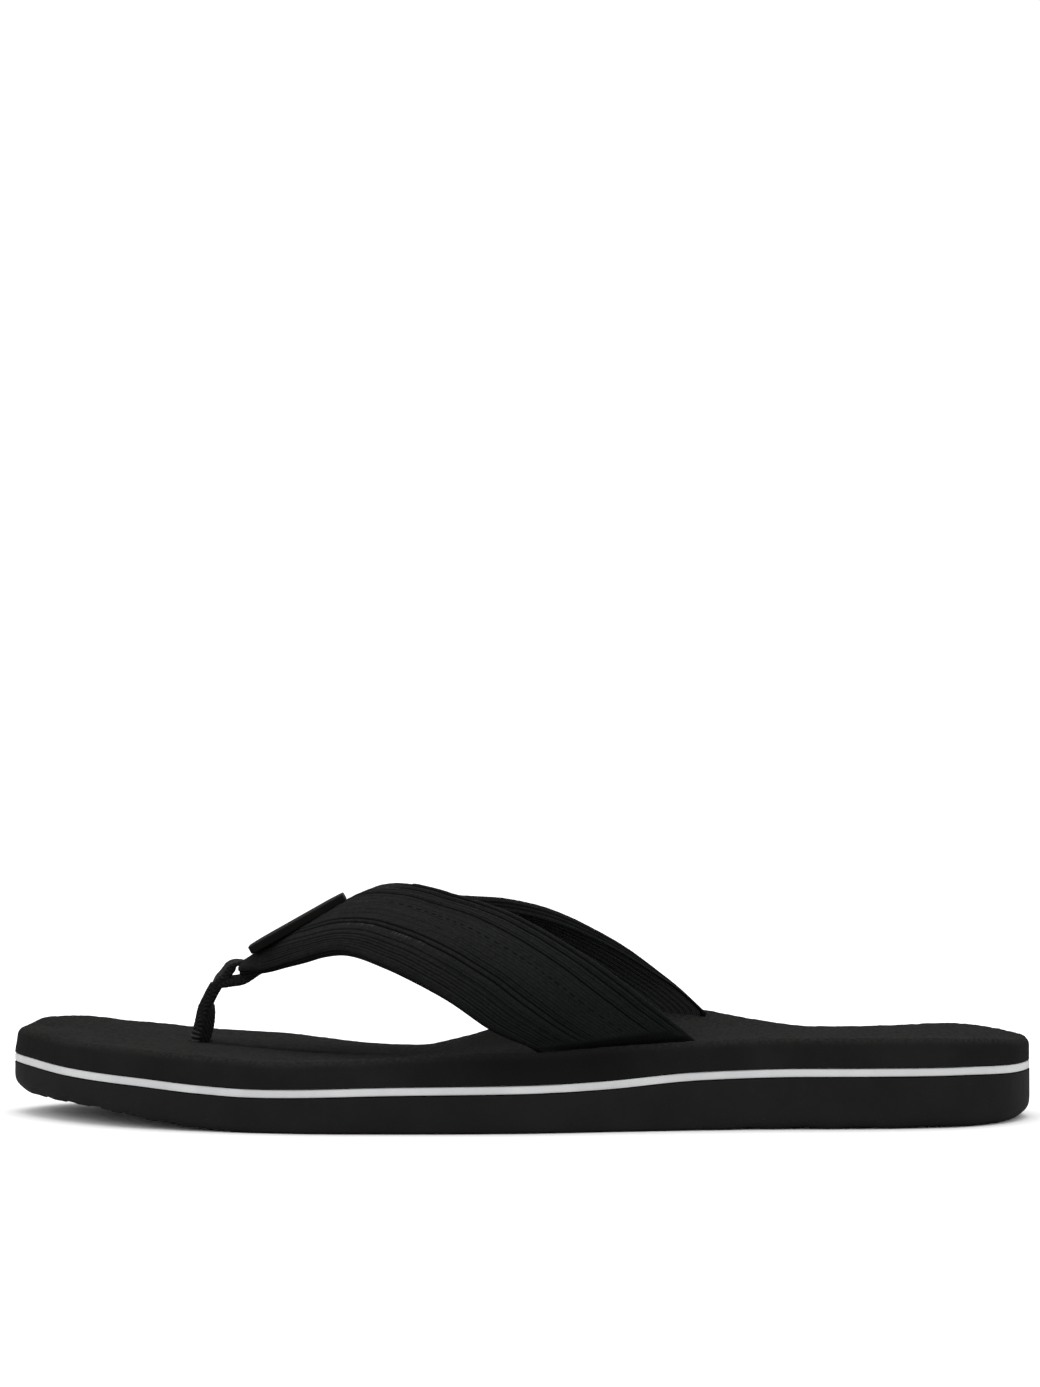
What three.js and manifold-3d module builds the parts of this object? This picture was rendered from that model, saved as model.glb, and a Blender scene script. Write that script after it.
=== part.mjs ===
// A left-foot flip flop: three bonded foam sole layers, a padded textile thong strap made of
// a lateral and a medial half, a woven tape toe post with its buried anchor, and a plain badge.
// Millimetres, +Z up. While it is modelled, x runs from the toe tip (0) to the heel, y is
// positive towards the medial (arch) side and z = 0 is the ground. The last lines move the
// finished group so that its bounding box stands centred on the origin.
import * as THREE from 'three';
import { mergeVertices } from 'three/addons/utils/BufferGeometryUtils.js';
import Module from 'manifold-3d';

const wasm = await Module();
wasm.setup();

// ---- driving dimensions ------------------------------------------------------------------
const LENGTH = 280;              // toe tip to heel
const SOLE_WIDTH = 101;          // across the ball of the foot
const INSTEP_HEIGHT = 46;        // top of the strap above the deck at the ball
const OUTSOLE_THICKNESS = 9.3;   // at the ball
const STRIPE_THICKNESS = 2.4;
const FOOTBED_THICKNESS = 6.8;   // at the ball
const GLUE_GAP = 0.3;            // left between bonded faces
const CLEARANCE = 0.3;           // between a piece and the slot or pocket that holds it
const RIM_RADIUS = 2.5;          // rounding of the footbed's top edge
const GROUND_RADIUS = 1.4;       // rounding of the outsole's bottom edge along the sides
const TIP_RADIUS = 4.5;          // the same rounding at the toe and the heel
const HEEL_EDGE_RADIUS = 2.6;    // and along the sides of the heel
const TREAD_DEPTH = 1.5;
const TREAD_WIDTH = 3;
const TREAD_INSET = 3;           // between the ends of the grooves and the sole's outline
const TOE_PITCH = 8;             // tread spacing at the toe
const HEEL_PITCH = 13;           // tread spacing at the heel
const TEXTILE_THICKNESS = 0.9;   // outer band, backing and vamp lining
const FOAM_THICKNESS = 1.2;
const SLOT_INSET = 4.6;          // strap face inside the sole's outline at its slot
const FLAP_LENGTH = 9;           // glued tail of the strap under the footbed
const FLAP_BEND = 3;             // outer radius of the tail's fold
const TAPE_WIDTH = 5.6;
const TAPE_PLY = 1.2;            // thickness of one leg of the toe post
const TAPE_EMBED = 9;            // length of tape inside the nose of the strap
const NOSE_MARGIN = 1.8;         // between the tape's edge and the hem at the nose
const POST_X = 51.6;             // centre of the toe post's hole
const POST_TURN = -50;           // angle of the tape's face to the sole's length at the deck
const ANCHOR_RADIUS = 9;
const ANCHOR_THICKNESS = 2;
const BADGE_LENGTH = 30;
const BADGE_WIDTH = 11;
const BADGE_THICKNESS = 2.2;
const BADGE_CORNER = 1.2;

// ---- shape tables ------------------------------------------------------------------------
// Plan outline from the toe tip round the lateral side to the heel and back by the medial
// side: [percent of LENGTH, percent of SOLE_WIDTH].
const OUTLINE = [
  [0, 13], [0.7, 5.5], [2.3, -3], [5.2, -14], [11, -30], [20.4, -42.5], [29, -48.5],
  [38.6, -49.7], [50, -48.2], [60.7, -42.6], [71.4, -37.9], [84, -36.4], [92, -32],
  [97.2, -21], [99.7, -6], [100, 2], [99.4, 10.5], [96.8, 25.5], [92, 33.8], [84, 36.6],
  [71.4, 36.3], [59, 36.8], [48.2, 39.3], [39.3, 44.8], [31.4, 48.8], [22.8, 50.3],
  [15, 48.5], [7.9, 41], [2.9, 30.5], [0.6, 21.5],
];
// Rise of the outsole's top over OUTSOLE_THICKNESS: [percent of LENGTH, mm].
const WEDGE = profile([
  [0, 4.7], [6, 3.1], [13, 2.0], [19, 0.7], [25, 0], [38, 0.8], [51, 1.2], [58, 2.0],
  [67, 4.0], [78, 4.7], [93, 4.6], [100, 4.0],
]);
// Toe spring of the outsole's underside.
const TOE_SPRING = profile([[0, 5.6], [4, 5.0], [9, 4.2], [14, 2.3], [19, 0.9], [25, 0], [100, 0]]);
// Height of the footbed's surface over its nominal level at the ball, at its lateral rim,
// along its middle and at its medial rim.
const LATERAL_RIM = profile([
  [0, 5.0], [5, 3.6], [11, 3.0], [20.7, 1.4], [27, 0.4], [33, 1.0], [44, 2.6], [52, 2.9],
  [58, 4.0], [67, 5.3], [75, 5.9], [88, 5.8], [96, 4.9], [100, 3.6],
]);
const MIDDLE = profile([
  [0, 4.6], [5, 4.3], [12, 2.3], [20, 0.8], [28, -0.8], [38, -1.4], [47, -0.6], [57, 1.2],
  [67, 2.8], [78, 3.2], [93, 3.3], [100, 3.2],
]);
const MEDIAL_RIM = profile([
  [0, 5.0], [2, 6.6], [5, 6.3], [11, 3.9], [19.6, 1.3], [27.5, -0.2], [35.7, -2.6],
  [39.6, -2.8], [43.9, -0.6], [47, 1.9], [53, 7.6], [60.5, 9.9], [68, 8.0], [73, 5.4],
  [80, 3.1], [87, 3.5], [94, 4.5], [98, 4.0], [100, 3.6],
]);
// Strap rails in percent of LENGTH, SOLE_WIDTH and INSTEP_HEIGHT (over the deck at the ball).
// The seam runs up the nose; each half then leaves it along its own rear edge. Every rail
// ends at its slot, whose place and height come from the sole.
const SEAM = [
  [22.9, 11.9, 52], [24.5, 11.5, 58.5], [28.2, 10.5, 71.5], [32.2, 9.3, 85], [34.8, 8.5, 93.5],
  [37.2, 7.6, 98],
];
const LATERAL_REAR = [
  [39.8, 3.5, 98], [44.1, -4.5, 92.5], [49, -13, 84], [53.8, -22.5, 70], [58.6, -30.2, 52],
  [63.4, -35, 30],
];
const LATERAL_FRONT = [
  [27.3, -3, 53], [32.2, -14.4, 62], [36.4, -24, 56], [42.6, -35, 38.5], [47.2, -40.6, 20],
];
const MEDIAL_REAR = [
  [39.6, 10.8, 95.5], [44, 15, 89.5], [49, 20, 86.5], [54, 25, 78], [60, 30, 59], [65, 32.5, 36.5],
];
const MEDIAL_FRONT = [[27.3, 25, 54], [32.2, 31, 63], [38, 35.5, 61], [44.6, 38, 48], [49.5, 37, 30]];
const LATERAL_SLOT = { rear: 67.2, front: 52.1 };
const MEDIAL_SLOT = { rear: 68.6, front: 53 };
// How far the middle of the strap bows out of the line between its edges, nose to slot, mm.
const CROWN = profile([
  [0, 0.4], [7, 2.2], [14, 4.0], [30, 5.0], [45, 5.4], [60, 5.0], [85, 3.2], [100, 2.0],
]);

// ---- small helpers -----------------------------------------------------------------------
const vec = (x, y, z) => new THREE.Vector3(x, y, z);
const mix = (a, b, t) => a + (b - a) * t;
const smooth = (value, low, high) => THREE.MathUtils.smoothstep(value, low, high);

// A smooth curve through [percent, value] pairs that never overshoots between two of them.
function profile(pairs) {
  const slope = pairs.map((pair, i) => {
    if (i === 0 || i === pairs.length - 1) return 0;
    const before = (pair[1] - pairs[i - 1][1]) / (pair[0] - pairs[i - 1][0]);
    const after = (pairs[i + 1][1] - pair[1]) / (pairs[i + 1][0] - pair[0]);
    return before * after <= 0 ? 0 : (2 * before * after) / (before + after);
  });
  return (percent) => {
    const last = pairs.length - 1;
    const p = THREE.MathUtils.clamp(percent, pairs[0][0], pairs[last][0]);
    const i = Math.min(pairs.findLastIndex((pair) => pair[0] <= p), last - 1);
    const span = pairs[i + 1][0] - pairs[i][0];
    const t = (p - pairs[i][0]) / span;
    const rise = pairs[i + 1][1] - pairs[i][1];
    const ease = t * t * (3 - 2 * t);
    const start = slope[i] * span * t * (1 - t) * (1 - t);
    const end = slope[i + 1] * span * t * t * (t - 1);
    return pairs[i][1] + rise * ease + start + end;
  };
}

// The flat outline of a thin section's end, bowed a little so that no three points of it are
// in line and each one is kept when the end is filled in.
const capOf = (pairs) => pairs.map(([x, y]) => new THREE.Vector2(x, y - (x * x) / 1000));

// A closed body through loops of points; the loops may pinch to a line or a point.
function loft(loops, capOutline) {
  const positions = [];
  const indices = [];
  const count = loops[0].length;
  loops.forEach((loop) => loop.forEach((point) => positions.push(point.x, point.y, point.z)));
  for (let row = 0; row + 1 < loops.length; row += 1) {
    for (let i = 0; i < count; i += 1) {
      const a = row * count + i;
      const b = row * count + ((i + 1) % count);
      indices.push(a, b, a + count, b, b + count, a + count);
    }
  }
  if (capOutline) {
    const lastLoop = (loops.length - 1) * count;
    const clockwise = THREE.ShapeUtils.isClockWise(capOutline);
    for (const [a, second, third] of THREE.ShapeUtils.triangulateShape(capOutline, [])) {
      const [b, c] = clockwise ? [third, second] : [second, third];
      indices.push(a, c, b, lastLoop + a, lastLoop + b, lastLoop + c);
    }
  }
  const geometry = new THREE.BufferGeometry();
  geometry.setAttribute('position', new THREE.Float32BufferAttribute(positions, 3));
  geometry.setIndex(indices);
  return toSolid(geometry);
}

// A manifold solid from a closed geometry, turned so that its faces point out.
function toSolid(geometry) {
  geometry.deleteAttribute('normal');
  geometry.deleteAttribute('uv');
  const merged = mergeVertices(geometry, 1e-4);
  const vertProperties = new Float32Array(merged.attributes.position.array);
  const corners = merged.index.array;
  const triangles = [];
  const point = (i) => vec().fromArray(vertProperties, 3 * i);
  let volume = 0;
  for (let i = 0; i < corners.length; i += 3) {
    const [a, b, c] = [corners[i], corners[i + 1], corners[i + 2]];
    if (a !== b && b !== c && a !== c) {
      triangles.push([a, b, c]);
      volume += point(a).dot(point(b).cross(point(c)));
    }
  }
  const faces = volume > 0 ? triangles : triangles.map(([a, b, c]) => [a, c, b]);
  const triVerts = Uint32Array.from(faces.flat());
  return new wasm.Manifold(new wasm.Mesh({ numProp: 3, vertProperties, triVerts }));
}

function toMesh(name, solid, color, roughness) {
  const { vertProperties, triVerts } = solid.getMesh();
  const geometry = new THREE.BufferGeometry();
  geometry.setAttribute('position', new THREE.BufferAttribute(new Float32Array(vertProperties), 3));
  geometry.setIndex(new THREE.BufferAttribute(new Uint32Array(triVerts), 1));
  geometry.computeVertexNormals();
  const mesh = new THREE.Mesh(geometry, new THREE.MeshStandardMaterial({ color, roughness }));
  mesh.name = name;
  return mesh;
}

function discSolid(radius, height, x, y, z) {
  const disc = new THREE.CylinderGeometry(radius, radius, height, 40);
  return toSolid(disc.rotateX(Math.PI / 2).translate(x, y, z));
}

// ---- the sole's reference surfaces -------------------------------------------------------
const percentOf = (x) => (100 * x) / LENGTH;
const deckLevel = OUTSOLE_THICKNESS + STRIPE_THICKNESS + FOOTBED_THICKNESS;
const outsoleTop = (x) => OUTSOLE_THICKNESS + WEDGE(percentOf(x));
const stripeTop = (x) => outsoleTop(x) + STRIPE_THICKNESS;
const groundLevel = (x) => TOE_SPRING(percentOf(x));
const rimHeight = (x, side) => deckLevel + (side < 0 ? LATERAL_RIM : MEDIAL_RIM)(percentOf(x));
const middleHeight = (x) => deckLevel + MIDDLE(percentOf(x));

const outlineCurve = new THREE.CatmullRomCurve3(
  OUTLINE.map(([x, y]) => vec((x * LENGTH) / 100, (y * SOLE_WIDTH) / 100, 0)), true, 'centripetal');
const [LATERAL, MEDIAL] = [-1, 1];
const outlineSides = splitOutline(outlineCurve.getPoints(720));

// The outline as two runs of points from toe tip to heel tip, one for each side.
function splitOutline(points) {
  const loop = points.slice(0, -1);
  const toe = loop.reduce((best, point, i) => (point.x < loop[best].x ? i : best), 0);
  const ordered = [...loop.slice(toe), ...loop.slice(0, toe)];
  const heel = ordered.reduce((best, point, i) => (point.x > ordered[best].x ? i : best), 0);
  const lateral = ordered.slice(0, heel + 1);
  const medial = [ordered[0], ...ordered.slice(heel).reverse()];
  return { lateral, medial };
}

function outlineY(x, side) {
  const run = side < 0 ? outlineSides.lateral : outlineSides.medial;
  const i = THREE.MathUtils.clamp(run.findIndex((point) => point.x >= x), 1, run.length - 1);
  const [a, b] = [run[i - 1], run[i]];
  return mix(a.y, b.y, b.x > a.x ? THREE.MathUtils.clamp((x - a.x) / (b.x - a.x), 0, 1) : 0);
}

// Stations round the sole, crowded together at both ends, with the inward direction at each
// and the point of the sole's middle line that it closes on.
const SIDE_STATIONS = 36;
const SPINE_MARGIN = 34;
const soleRing = makeSoleRing();

function makeSoleRing() {
  const toeX = outlineSides.lateral[0].x;
  const heelX = outlineSides.lateral.at(-1).x;
  const ring = [];
  const add = (step, side) => {
    const x = mix(toeX, heelX, (1 - Math.cos((Math.PI * step) / SIDE_STATIONS)) / 2);
    const spineX = THREE.MathUtils.clamp(x, toeX + SPINE_MARGIN, heelX - SPINE_MARGIN);
    const spineY = (outlineY(spineX, LATERAL) + outlineY(spineX, MEDIAL)) / 2;
    ring.push({ x, y: outlineY(x, side), side, spine: vec(spineX, spineY, 0) });
  };
  for (let step = 0; step <= SIDE_STATIONS; step += 1) add(step, LATERAL);
  for (let step = SIDE_STATIONS - 1; step > 0; step -= 1) add(step, MEDIAL);
  ring.forEach((station, i) => {
    const before = ring.at(i - 1);
    const after = ring[(i + 1) % ring.length];
    station.inward = vec(before.y - after.y, after.x - before.x, 0).normalize();
  });
  return ring;
}

// The point a given distance inside a station, then a share of the way on to the middle line.
function insidePoint(station, inset, share, height) {
  const edge = vec(station.x, station.y, 0).addScaledVector(station.inward, inset);
  const point = edge.lerp(station.spine, share);
  point.z = height(point.x, station, share);
  return point;
}

const ringAt = (inset, share, height) => (
  soleRing.map((station) => insidePoint(station, inset, share, height)));
const QUARTER = [0, 1, 2, 3].map((step) => (step * Math.PI) / 6);

// ---- sole layers -------------------------------------------------------------------------
const footbedUnder = (x) => stripeTop(x) + GLUE_GAP / 2;
const deckHeight = (x, station, share) => (
  mix(rimHeight(station.x, station.side), middleHeight(x), 1 - (1 - share) ** 2));

function makeFootbed() {
  const rounding = QUARTER.map((angle) => ringAt(
    RIM_RADIUS * (1 - Math.cos(angle)), 0,
    (x, station) => rimHeight(station.x, station.side) - RIM_RADIUS * (1 - Math.sin(angle))));
  const deck = [0.2, 0.45, 0.72, 1].map((share) => ringAt(RIM_RADIUS, share, deckHeight));
  return loft([ringAt(0, 1, footbedUnder), ringAt(0, 0, footbedUnder), ...rounding, ...deck]);
}

function makeStripe() {
  const under = (x) => outsoleTop(x) + GLUE_GAP / 2;
  const top = (x) => stripeTop(x) - GLUE_GAP / 2;
  return loft([ringAt(0, 1, under), ringAt(0, 0, under), ringAt(0, 0, top), ringAt(0, 1, top)]);
}

const HEEL_EDGE_ZONE = [66, 78];   // percent of LENGTH over which its larger rounding grows

// The outsole with its toe spring, rounded lower edge and zigzag tread grooves.
function makeOutsole() {
  const top = (x) => outsoleTop(x) - GLUE_GAP / 2;
  const sideRadius = (x) => mix(GROUND_RADIUS, HEEL_EDGE_RADIUS, smooth(percentOf(x), ...HEEL_EDGE_ZONE));
  const radius = (station) => mix(sideRadius(station.x), TIP_RADIUS, station.inward.x ** 2);
  const rounding = [...QUARTER].reverse().map((angle) => soleRing.map((station) => insidePoint(
    station, radius(station) * (1 - Math.cos(angle)), 0,
    (x) => groundLevel(station.x) + radius(station) * (1 - Math.sin(angle)))));
  const underside = [1, 0.6, 0.25].map((share) => soleRing.map((station) => insidePoint(
    station, radius(station), share, groundLevel)));
  let outsole = loft([...underside, ...rounding, ringAt(0, 0, top), ringAt(0, 1, top)]);
  const field = makeTreadField();
  for (let x = TOE_PITCH; x < LENGTH - HEEL_PITCH / 2; x += mix(TOE_PITCH, HEEL_PITCH, x / LENGTH)) {
    outsole = outsole.subtract(makeGroove(x).intersect(field));
  }
  return outsole;
}

// The inner part of the underside that the grooves stay in.
function makeTreadField() {
  const [low, high] = [() => -OUTSOLE_THICKNESS, () => deckLevel];
  return loft([
    ringAt(TREAD_INSET, 1, low), ringAt(TREAD_INSET, 0, low),
    ringAt(TREAD_INSET, 0, high), ringAt(TREAD_INSET, 1, high),
  ]);
}

const ZIGZAG_TEETH = 6;
const ZIGZAG_REACH = 4;
const GROOVE_FLOOR = -5;         // the cutter starts below the ground
const GROOVE_REACH = 0.6 * SOLE_WIDTH;   // past both edges of the sole

function makeGroove(x) {
  const roof = groundLevel(x) + TREAD_DEPTH;
  const loops = [];
  for (let i = 0; i <= ZIGZAG_TEETH; i += 1) {
    const y = mix(-GROOVE_REACH, GROOVE_REACH, i / ZIGZAG_TEETH);
    const start = x - TREAD_WIDTH / 2 + (i % 2 === 0 ? 0 : ZIGZAG_REACH);
    const end = start + TREAD_WIDTH;
    loops.push([
      vec(start, y, GROOVE_FLOOR), vec(end, y, GROOVE_FLOOR), vec(end, y, roof), vec(start, y, roof),
    ]);
  }
  return loft(loops, capOf([[0, 0], [1, 0], [1, 1], [0, 1]]));
}

// ---- the strap's surface -----------------------------------------------------------------
// A strap half is a ribbon between a rear rail (the seam, then the rear edge) and a front
// rail. u runs from the nose (0) to the slot (1), and past 1 down the glued tail. Across the
// ribbon, offsets are millimetres from the rear rail, and depth is millimetres under the face.
const STACK = 2 * TEXTILE_THICKNESS + FOAM_THICKNESS + 2 * CLEARANCE;
const SEAM_HALF_GAP = 0.2;
const seamY = (SEAM[0][1] * SOLE_WIDTH) / 100;
const noseHalfWidth = TAPE_WIDTH / 2 + TEXTILE_THICKNESS + NOSE_MARGIN;

const railPoint = ([x, y, rise]) => vec(
  (x * LENGTH) / 100, (y * SOLE_WIDTH) / 100, deckLevel + (rise * INSTEP_HEIGHT) / 100);

function slotPoint(percent, side) {
  const x = (percent * LENGTH) / 100;
  return vec(x, outlineY(x, side) - side * SLOT_INSET, rimHeight(x, side) - CLEARANCE);
}

function makeHalf(side, rearEdge, frontEdge, slot) {
  const seam = SEAM.map(railPoint);
  seam.forEach((point) => {
    point.y += side * SEAM_HALF_GAP;
  });
  const noseCorner = railPoint([22.1, 0, 47]).setY(seamY + side * noseHalfWidth);
  const noseFlank = railPoint([24.2, 0, 46.5]).setY(seamY + side * (noseHalfWidth + 1.5));
  const rearPoints = [...seam, ...rearEdge.map(railPoint), slotPoint(slot.rear, side)];
  const frontPoints = [noseCorner, noseFlank, ...frontEdge.map(railPoint), slotPoint(slot.front, side)];
  const rear = new THREE.CatmullRomCurve3(rearPoints, false, 'centripetal');
  const front = new THREE.CatmullRomCurve3(frontPoints, false, 'centripetal');
  rear.arcLengthDivisions = 400;
  front.arcLengthDivisions = 400;
  return { side, rear, front };
}

const lateralHalf = makeHalf(LATERAL, LATERAL_REAR, LATERAL_FRONT, LATERAL_SLOT);
const medialHalf = makeHalf(MEDIAL, MEDIAL_REAR, MEDIAL_FRONT, MEDIAL_SLOT);

// How far the tail goes below the slot's mouth, in units of u: straight down to the fold,
// round a quarter turn, then flat under the footbed.
const TAIL = { fold: 1.2, flat: 1.4, end: 1.6 };

function tailPoint(rail, side, u) {
  const mouth = rail.getPointAt(1);
  const floor = footbedUnder(mouth.x);
  const foldTop = floor + FLAP_BEND;
  if (u <= TAIL.fold) {
    return vec(mouth.x, mouth.y, mix(mouth.z, foldTop, (u - 1) / (TAIL.fold - 1)));
  }
  const turn = Math.min((u - TAIL.fold) / (TAIL.flat - TAIL.fold), 1) * (Math.PI / 2);
  const run = Math.max((u - TAIL.flat) / (TAIL.end - TAIL.flat), 0) * FLAP_LENGTH;
  const inward = FLAP_BEND * (1 - Math.cos(turn)) + run;
  return vec(mouth.x, mouth.y - side * inward, foldTop - FLAP_BEND * Math.sin(turn));
}

const TANGENT_STEP = 0.004;      // step in u for the direction along the strap

// The two rails' points, the direction along the strap and the outward normal at u.
function frameAt(half, u) {
  const { side } = half;
  const at = (rail, value) => (
    value <= 1 ? rail.getPointAt(Math.max(value, 0)) : tailPoint(rail, side, value));
  const [rear, front] = [at(half.rear, u), at(half.front, u)];
  const low = Math.max(u - TANGENT_STEP, u > 1 ? 1 : 0);
  const high = u > 1 ? u + TANGENT_STEP : Math.min(u + TANGENT_STEP, 1);
  const along = at(half.rear, high).add(at(half.front, high));
  along.sub(at(half.rear, low)).sub(at(half.front, low)).normalize();
  const across = front.clone().sub(rear);
  const normal = across.clone().cross(along).multiplyScalar(-side).normalize();
  return { rear, front, along, across, normal, width: across.length() };
}

const MITRE_REACH = 3;           // of the seam's mitre, across the strap
const SEAM_PARTING = [1.5, 4];   // distance from the seam's plane over which the mitre ends

// A point of the ribbon, offset millimetres from its rear rail and depth under its face.
// Along the seam the two halves meet on the seam's own upright plane.
function ribbonPoint(half, u, offset, depth) {
  const { rear, front, along, across, normal, width } = frameAt(half, u);
  const t = offset / width;
  const crown = CROWN(100 * Math.min(u, 1)) * (1 - smooth(u, 1, TAIL.fold));
  const bow = 4 * crown * t * (1 - t) * 0.5;
  const point = rear.clone().addScaledVector(across, t).addScaledVector(normal, bow);
  const slope = across.clone().addScaledVector(normal, 2 * crown * (1 - 2 * t));
  const localNormal = slope.cross(along).multiplyScalar(-half.side).normalize();
  const mitre = 1 - smooth(Math.abs(offset), 0, MITRE_REACH);
  const onSeam = mitre * (1 - smooth(seamDistance(half, u), ...SEAM_PARTING));
  localNormal.y *= 1 - onSeam;
  localNormal.normalize();
  return point.addScaledVector(localNormal, -depth);
}

const NOTCH_RUN = 4;             // how far behind the seam's end the notch takes to open

// Distance between the rear rail and the seam's plane, which opens behind the notch.
function seamDistance(half, u) {
  if (u > 1) return SOLE_WIDTH;
  const point = half.rear.getPointAt(u);
  const seamPlane = railPoint(SEAM.at(-1)).y;
  const [notchStart, notchEnd] = [railPoint(SEAM.at(-2)).x, railPoint(SEAM.at(-1)).x + NOTCH_RUN];
  const behindNotch = smooth(point.x, notchStart, notchEnd);
  return behindNotch * Math.max((point.y - seamPlane) * half.side, 0);
}

// Every textile and foam piece of a half is a section swept along the ribbon. A section is a
// list of [offset, depth] pairs in order round the piece, with the same count at each u.
function sweepSection(half, stations, section) {
  const loops = stations.map((u) => {
    const { width } = frameAt(half, u);
    return section(u, width).map(([offset, depth]) => ribbonPoint(half, u, offset, depth));
  });
  const middle = stations[Math.floor(stations.length / 2)];
  const outline = section(middle, frameAt(half, middle).width);
  return loft(loops, capOf(outline.map(([offset, depth]) => [offset, -depth])));
}

const ACROSS_STEPS = 6;

// A flat slab of the stack between two offsets and two depths.
function slab(from, to, shallow, deep) {
  const face = [];
  for (let i = 0; i <= ACROSS_STEPS; i += 1) face.push(mix(from, to, i / ACROSS_STEPS));
  return [...face.map((offset) => [offset, shallow]), ...face.reverse().map((offset) => [offset, deep])];
}

// All pieces share the same stations, closer together at the nose, so that their facets
// stay parallel. Their number follows the strap's length.
const STATION_SPACING = 4.75;
const strapCount = Math.round(lateralHalf.rear.getLength() / STATION_SPACING);
const strapSteps = Array.from({ length: strapCount + 1 }, (_, i) => (i / strapCount) ** 1.25);
const strapStations = (from, to) => [
  from, ...strapSteps.filter((u) => u > from + 0.005 && u < to - 0.005), to];
const tailStations = [1.1, TAIL.fold, 1.27, 1.33, TAIL.flat, TAIL.end];

// Distances from the seam's plane over which the rear hem and the vamp lining part.
const HEM_PARTING = [4, 6.5];
const LINING_PARTING = [0.5, 2.5];
const LINING_OVERLAP = 1;        // of the vamp lining's two halves across the seam

// Depth of the rolled hem at each edge: it opens behind the notch and closes in the slot.
function hemDepth(half, u, edge) {
  const inSlot = smooth(u, 1, 1.1);
  const open = edge === 'rear' ? smooth(seamDistance(half, u), ...HEM_PARTING) : 1;
  return mix(TEXTILE_THICKNESS + 0.02, STACK, open * (1 - inSlot));
}

// The outer band: a ribbed textile face with a rolled hem along each edge.
function makeOuter(half) {
  const wall = TEXTILE_THICKNESS;
  const stations = [...strapStations(0, 1), ...tailStations];
  return sweepSection(half, stations, (u, width) => {
    const face = slab(0, width, 0, wall).slice(0, ACROSS_STEPS + 1);
    const inside = slab(wall, width - wall, 0, wall).slice(ACROSS_STEPS + 1);
    const [rearHem, frontHem] = [hemDepth(half, u, 'rear'), hemDepth(half, u, 'front')];
    return [
      ...face, [width, frontHem], [width - wall, frontHem],
      ...inside, [wall, rearHem], [0, rearHem],
    ];
  });
}

const hemInset = TEXTILE_THICKNESS + CLEARANCE;
const foamDepth = TEXTILE_THICKNESS + CLEARANCE;
const liningDepth = STACK - TEXTILE_THICKNESS;
const LINING_JOINT = 0.6;        // where the vamp lining ends and the backing starts
const FOAM_SEAM_INSET = 2.2;
const FOAM_START = 6;            // between the embedded tape's end and the foam

function makeFoam(half) {
  const start = (TAPE_EMBED + FOAM_START) / half.rear.getLength();
  return sweepSection(half, strapStations(start, 1), (u, width) => slab(
    FOAM_SEAM_INSET, width - hemInset, foamDepth, foamDepth + FOAM_THICKNESS));
}

function makeBacking(half) {
  const start = LINING_JOINT + GLUE_GAP / half.rear.getLength();
  const stations = [...strapStations(start, 1), 1.1, TAIL.fold - 0.04];
  return sweepSection(half, stations, (u, width) => slab(
    hemInset, width - hemInset, liningDepth, STACK));
}

// The smooth lining under the nose and the notch: one piece that bridges both halves.
function makeVampLining() {
  const [lateral, medial] = [lateralHalf, medialHalf].map((half) => (
    sweepSection(half, strapStations(0, LINING_JOINT), (u, width) => {
      const parted = smooth(seamDistance(half, u), ...LINING_PARTING);
      const rearOffset = mix(-LINING_OVERLAP, hemInset, parted);
      return slab(rearOffset, width - hemInset, liningDepth, STACK);
    })));
  return lateral.add(medial);
}

// The space that a strap and its tail need in the footbed.
function makeSlotCutter(half) {
  const room = CLEARANCE;
  const slot = sweepSection(half, [0.9, 0.95, 1, 1.1, TAIL.fold, 1.215], (u, width) => (
    slab(-room, width + room, -room, STACK + room)));
  const pocketStations = [TAIL.fold - 0.02, 1.27, 1.33, TAIL.flat, TAIL.end + 0.008];
  const pocket = sweepSection(half, pocketStations, (u, width) => (
    slab(-room, width + room, -room - CLEARANCE, TEXTILE_THICKNESS + room)));
  return slot.add(pocket);
}

// ---- toe post ----------------------------------------------------------------------------
// A woven tape: both plies leave the anchor together, turn on the way up until their faces
// lie across the shoe, part, and grip the nose of the strap from above and below its lining.
const postY = seamY;
const anchorTop = outsoleTop(POST_X) - GLUE_GAP / 2;
const anchorMiddle = anchorTop - CLEARANCE - ANCHOR_THICKNESS / 2;
const TAPE_STEPS = 4;

// A tape section: a row of points across its width on each face.
function tapeSection(centre, { wide, thin }, width, thickness) {
  const face = (side) => Array.from({ length: TAPE_STEPS + 1 }, (_, i) => (
    centre.clone()
      .addScaledVector(wide, width * (i / TAPE_STEPS - 0.5))
      .addScaledVector(thin, (side * thickness) / 2)));
  return [...face(1), ...face(-1).reverse()];
}

// The directions across a tape and through it, for a path that climbs in the x-z plane.
function tapeAxes(path, i) {
  const [before, after] = [path[Math.max(i - 1, 0)].at, path[Math.min(i + 1, path.length - 1)].at];
  const along = vec(after[0] - before[0], 0, after[1] - before[1]).normalize();
  const flat = vec(along.z, 0, -along.x);
  const turn = THREE.MathUtils.degToRad(path[i].twist);
  return {
    wide: flat.clone().multiplyScalar(Math.cos(turn)).add(vec(0, -Math.sin(turn), 0)),
    thin: flat.clone().multiplyScalar(Math.sin(turn)).add(vec(0, Math.cos(turn), 0)),
  };
}

const tapeCentre = ([x, z]) => vec(POST_X + x, postY, z);
const flatTape = tapeSection(vec(0, 0, 0), { wide: vec(1, 0, 0), thin: vec(0, 1, 0) }, TAPE_WIDTH, TAPE_PLY);
const tapeCap = capOf(flatTape.map((point) => [point.x, point.y]));

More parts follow.
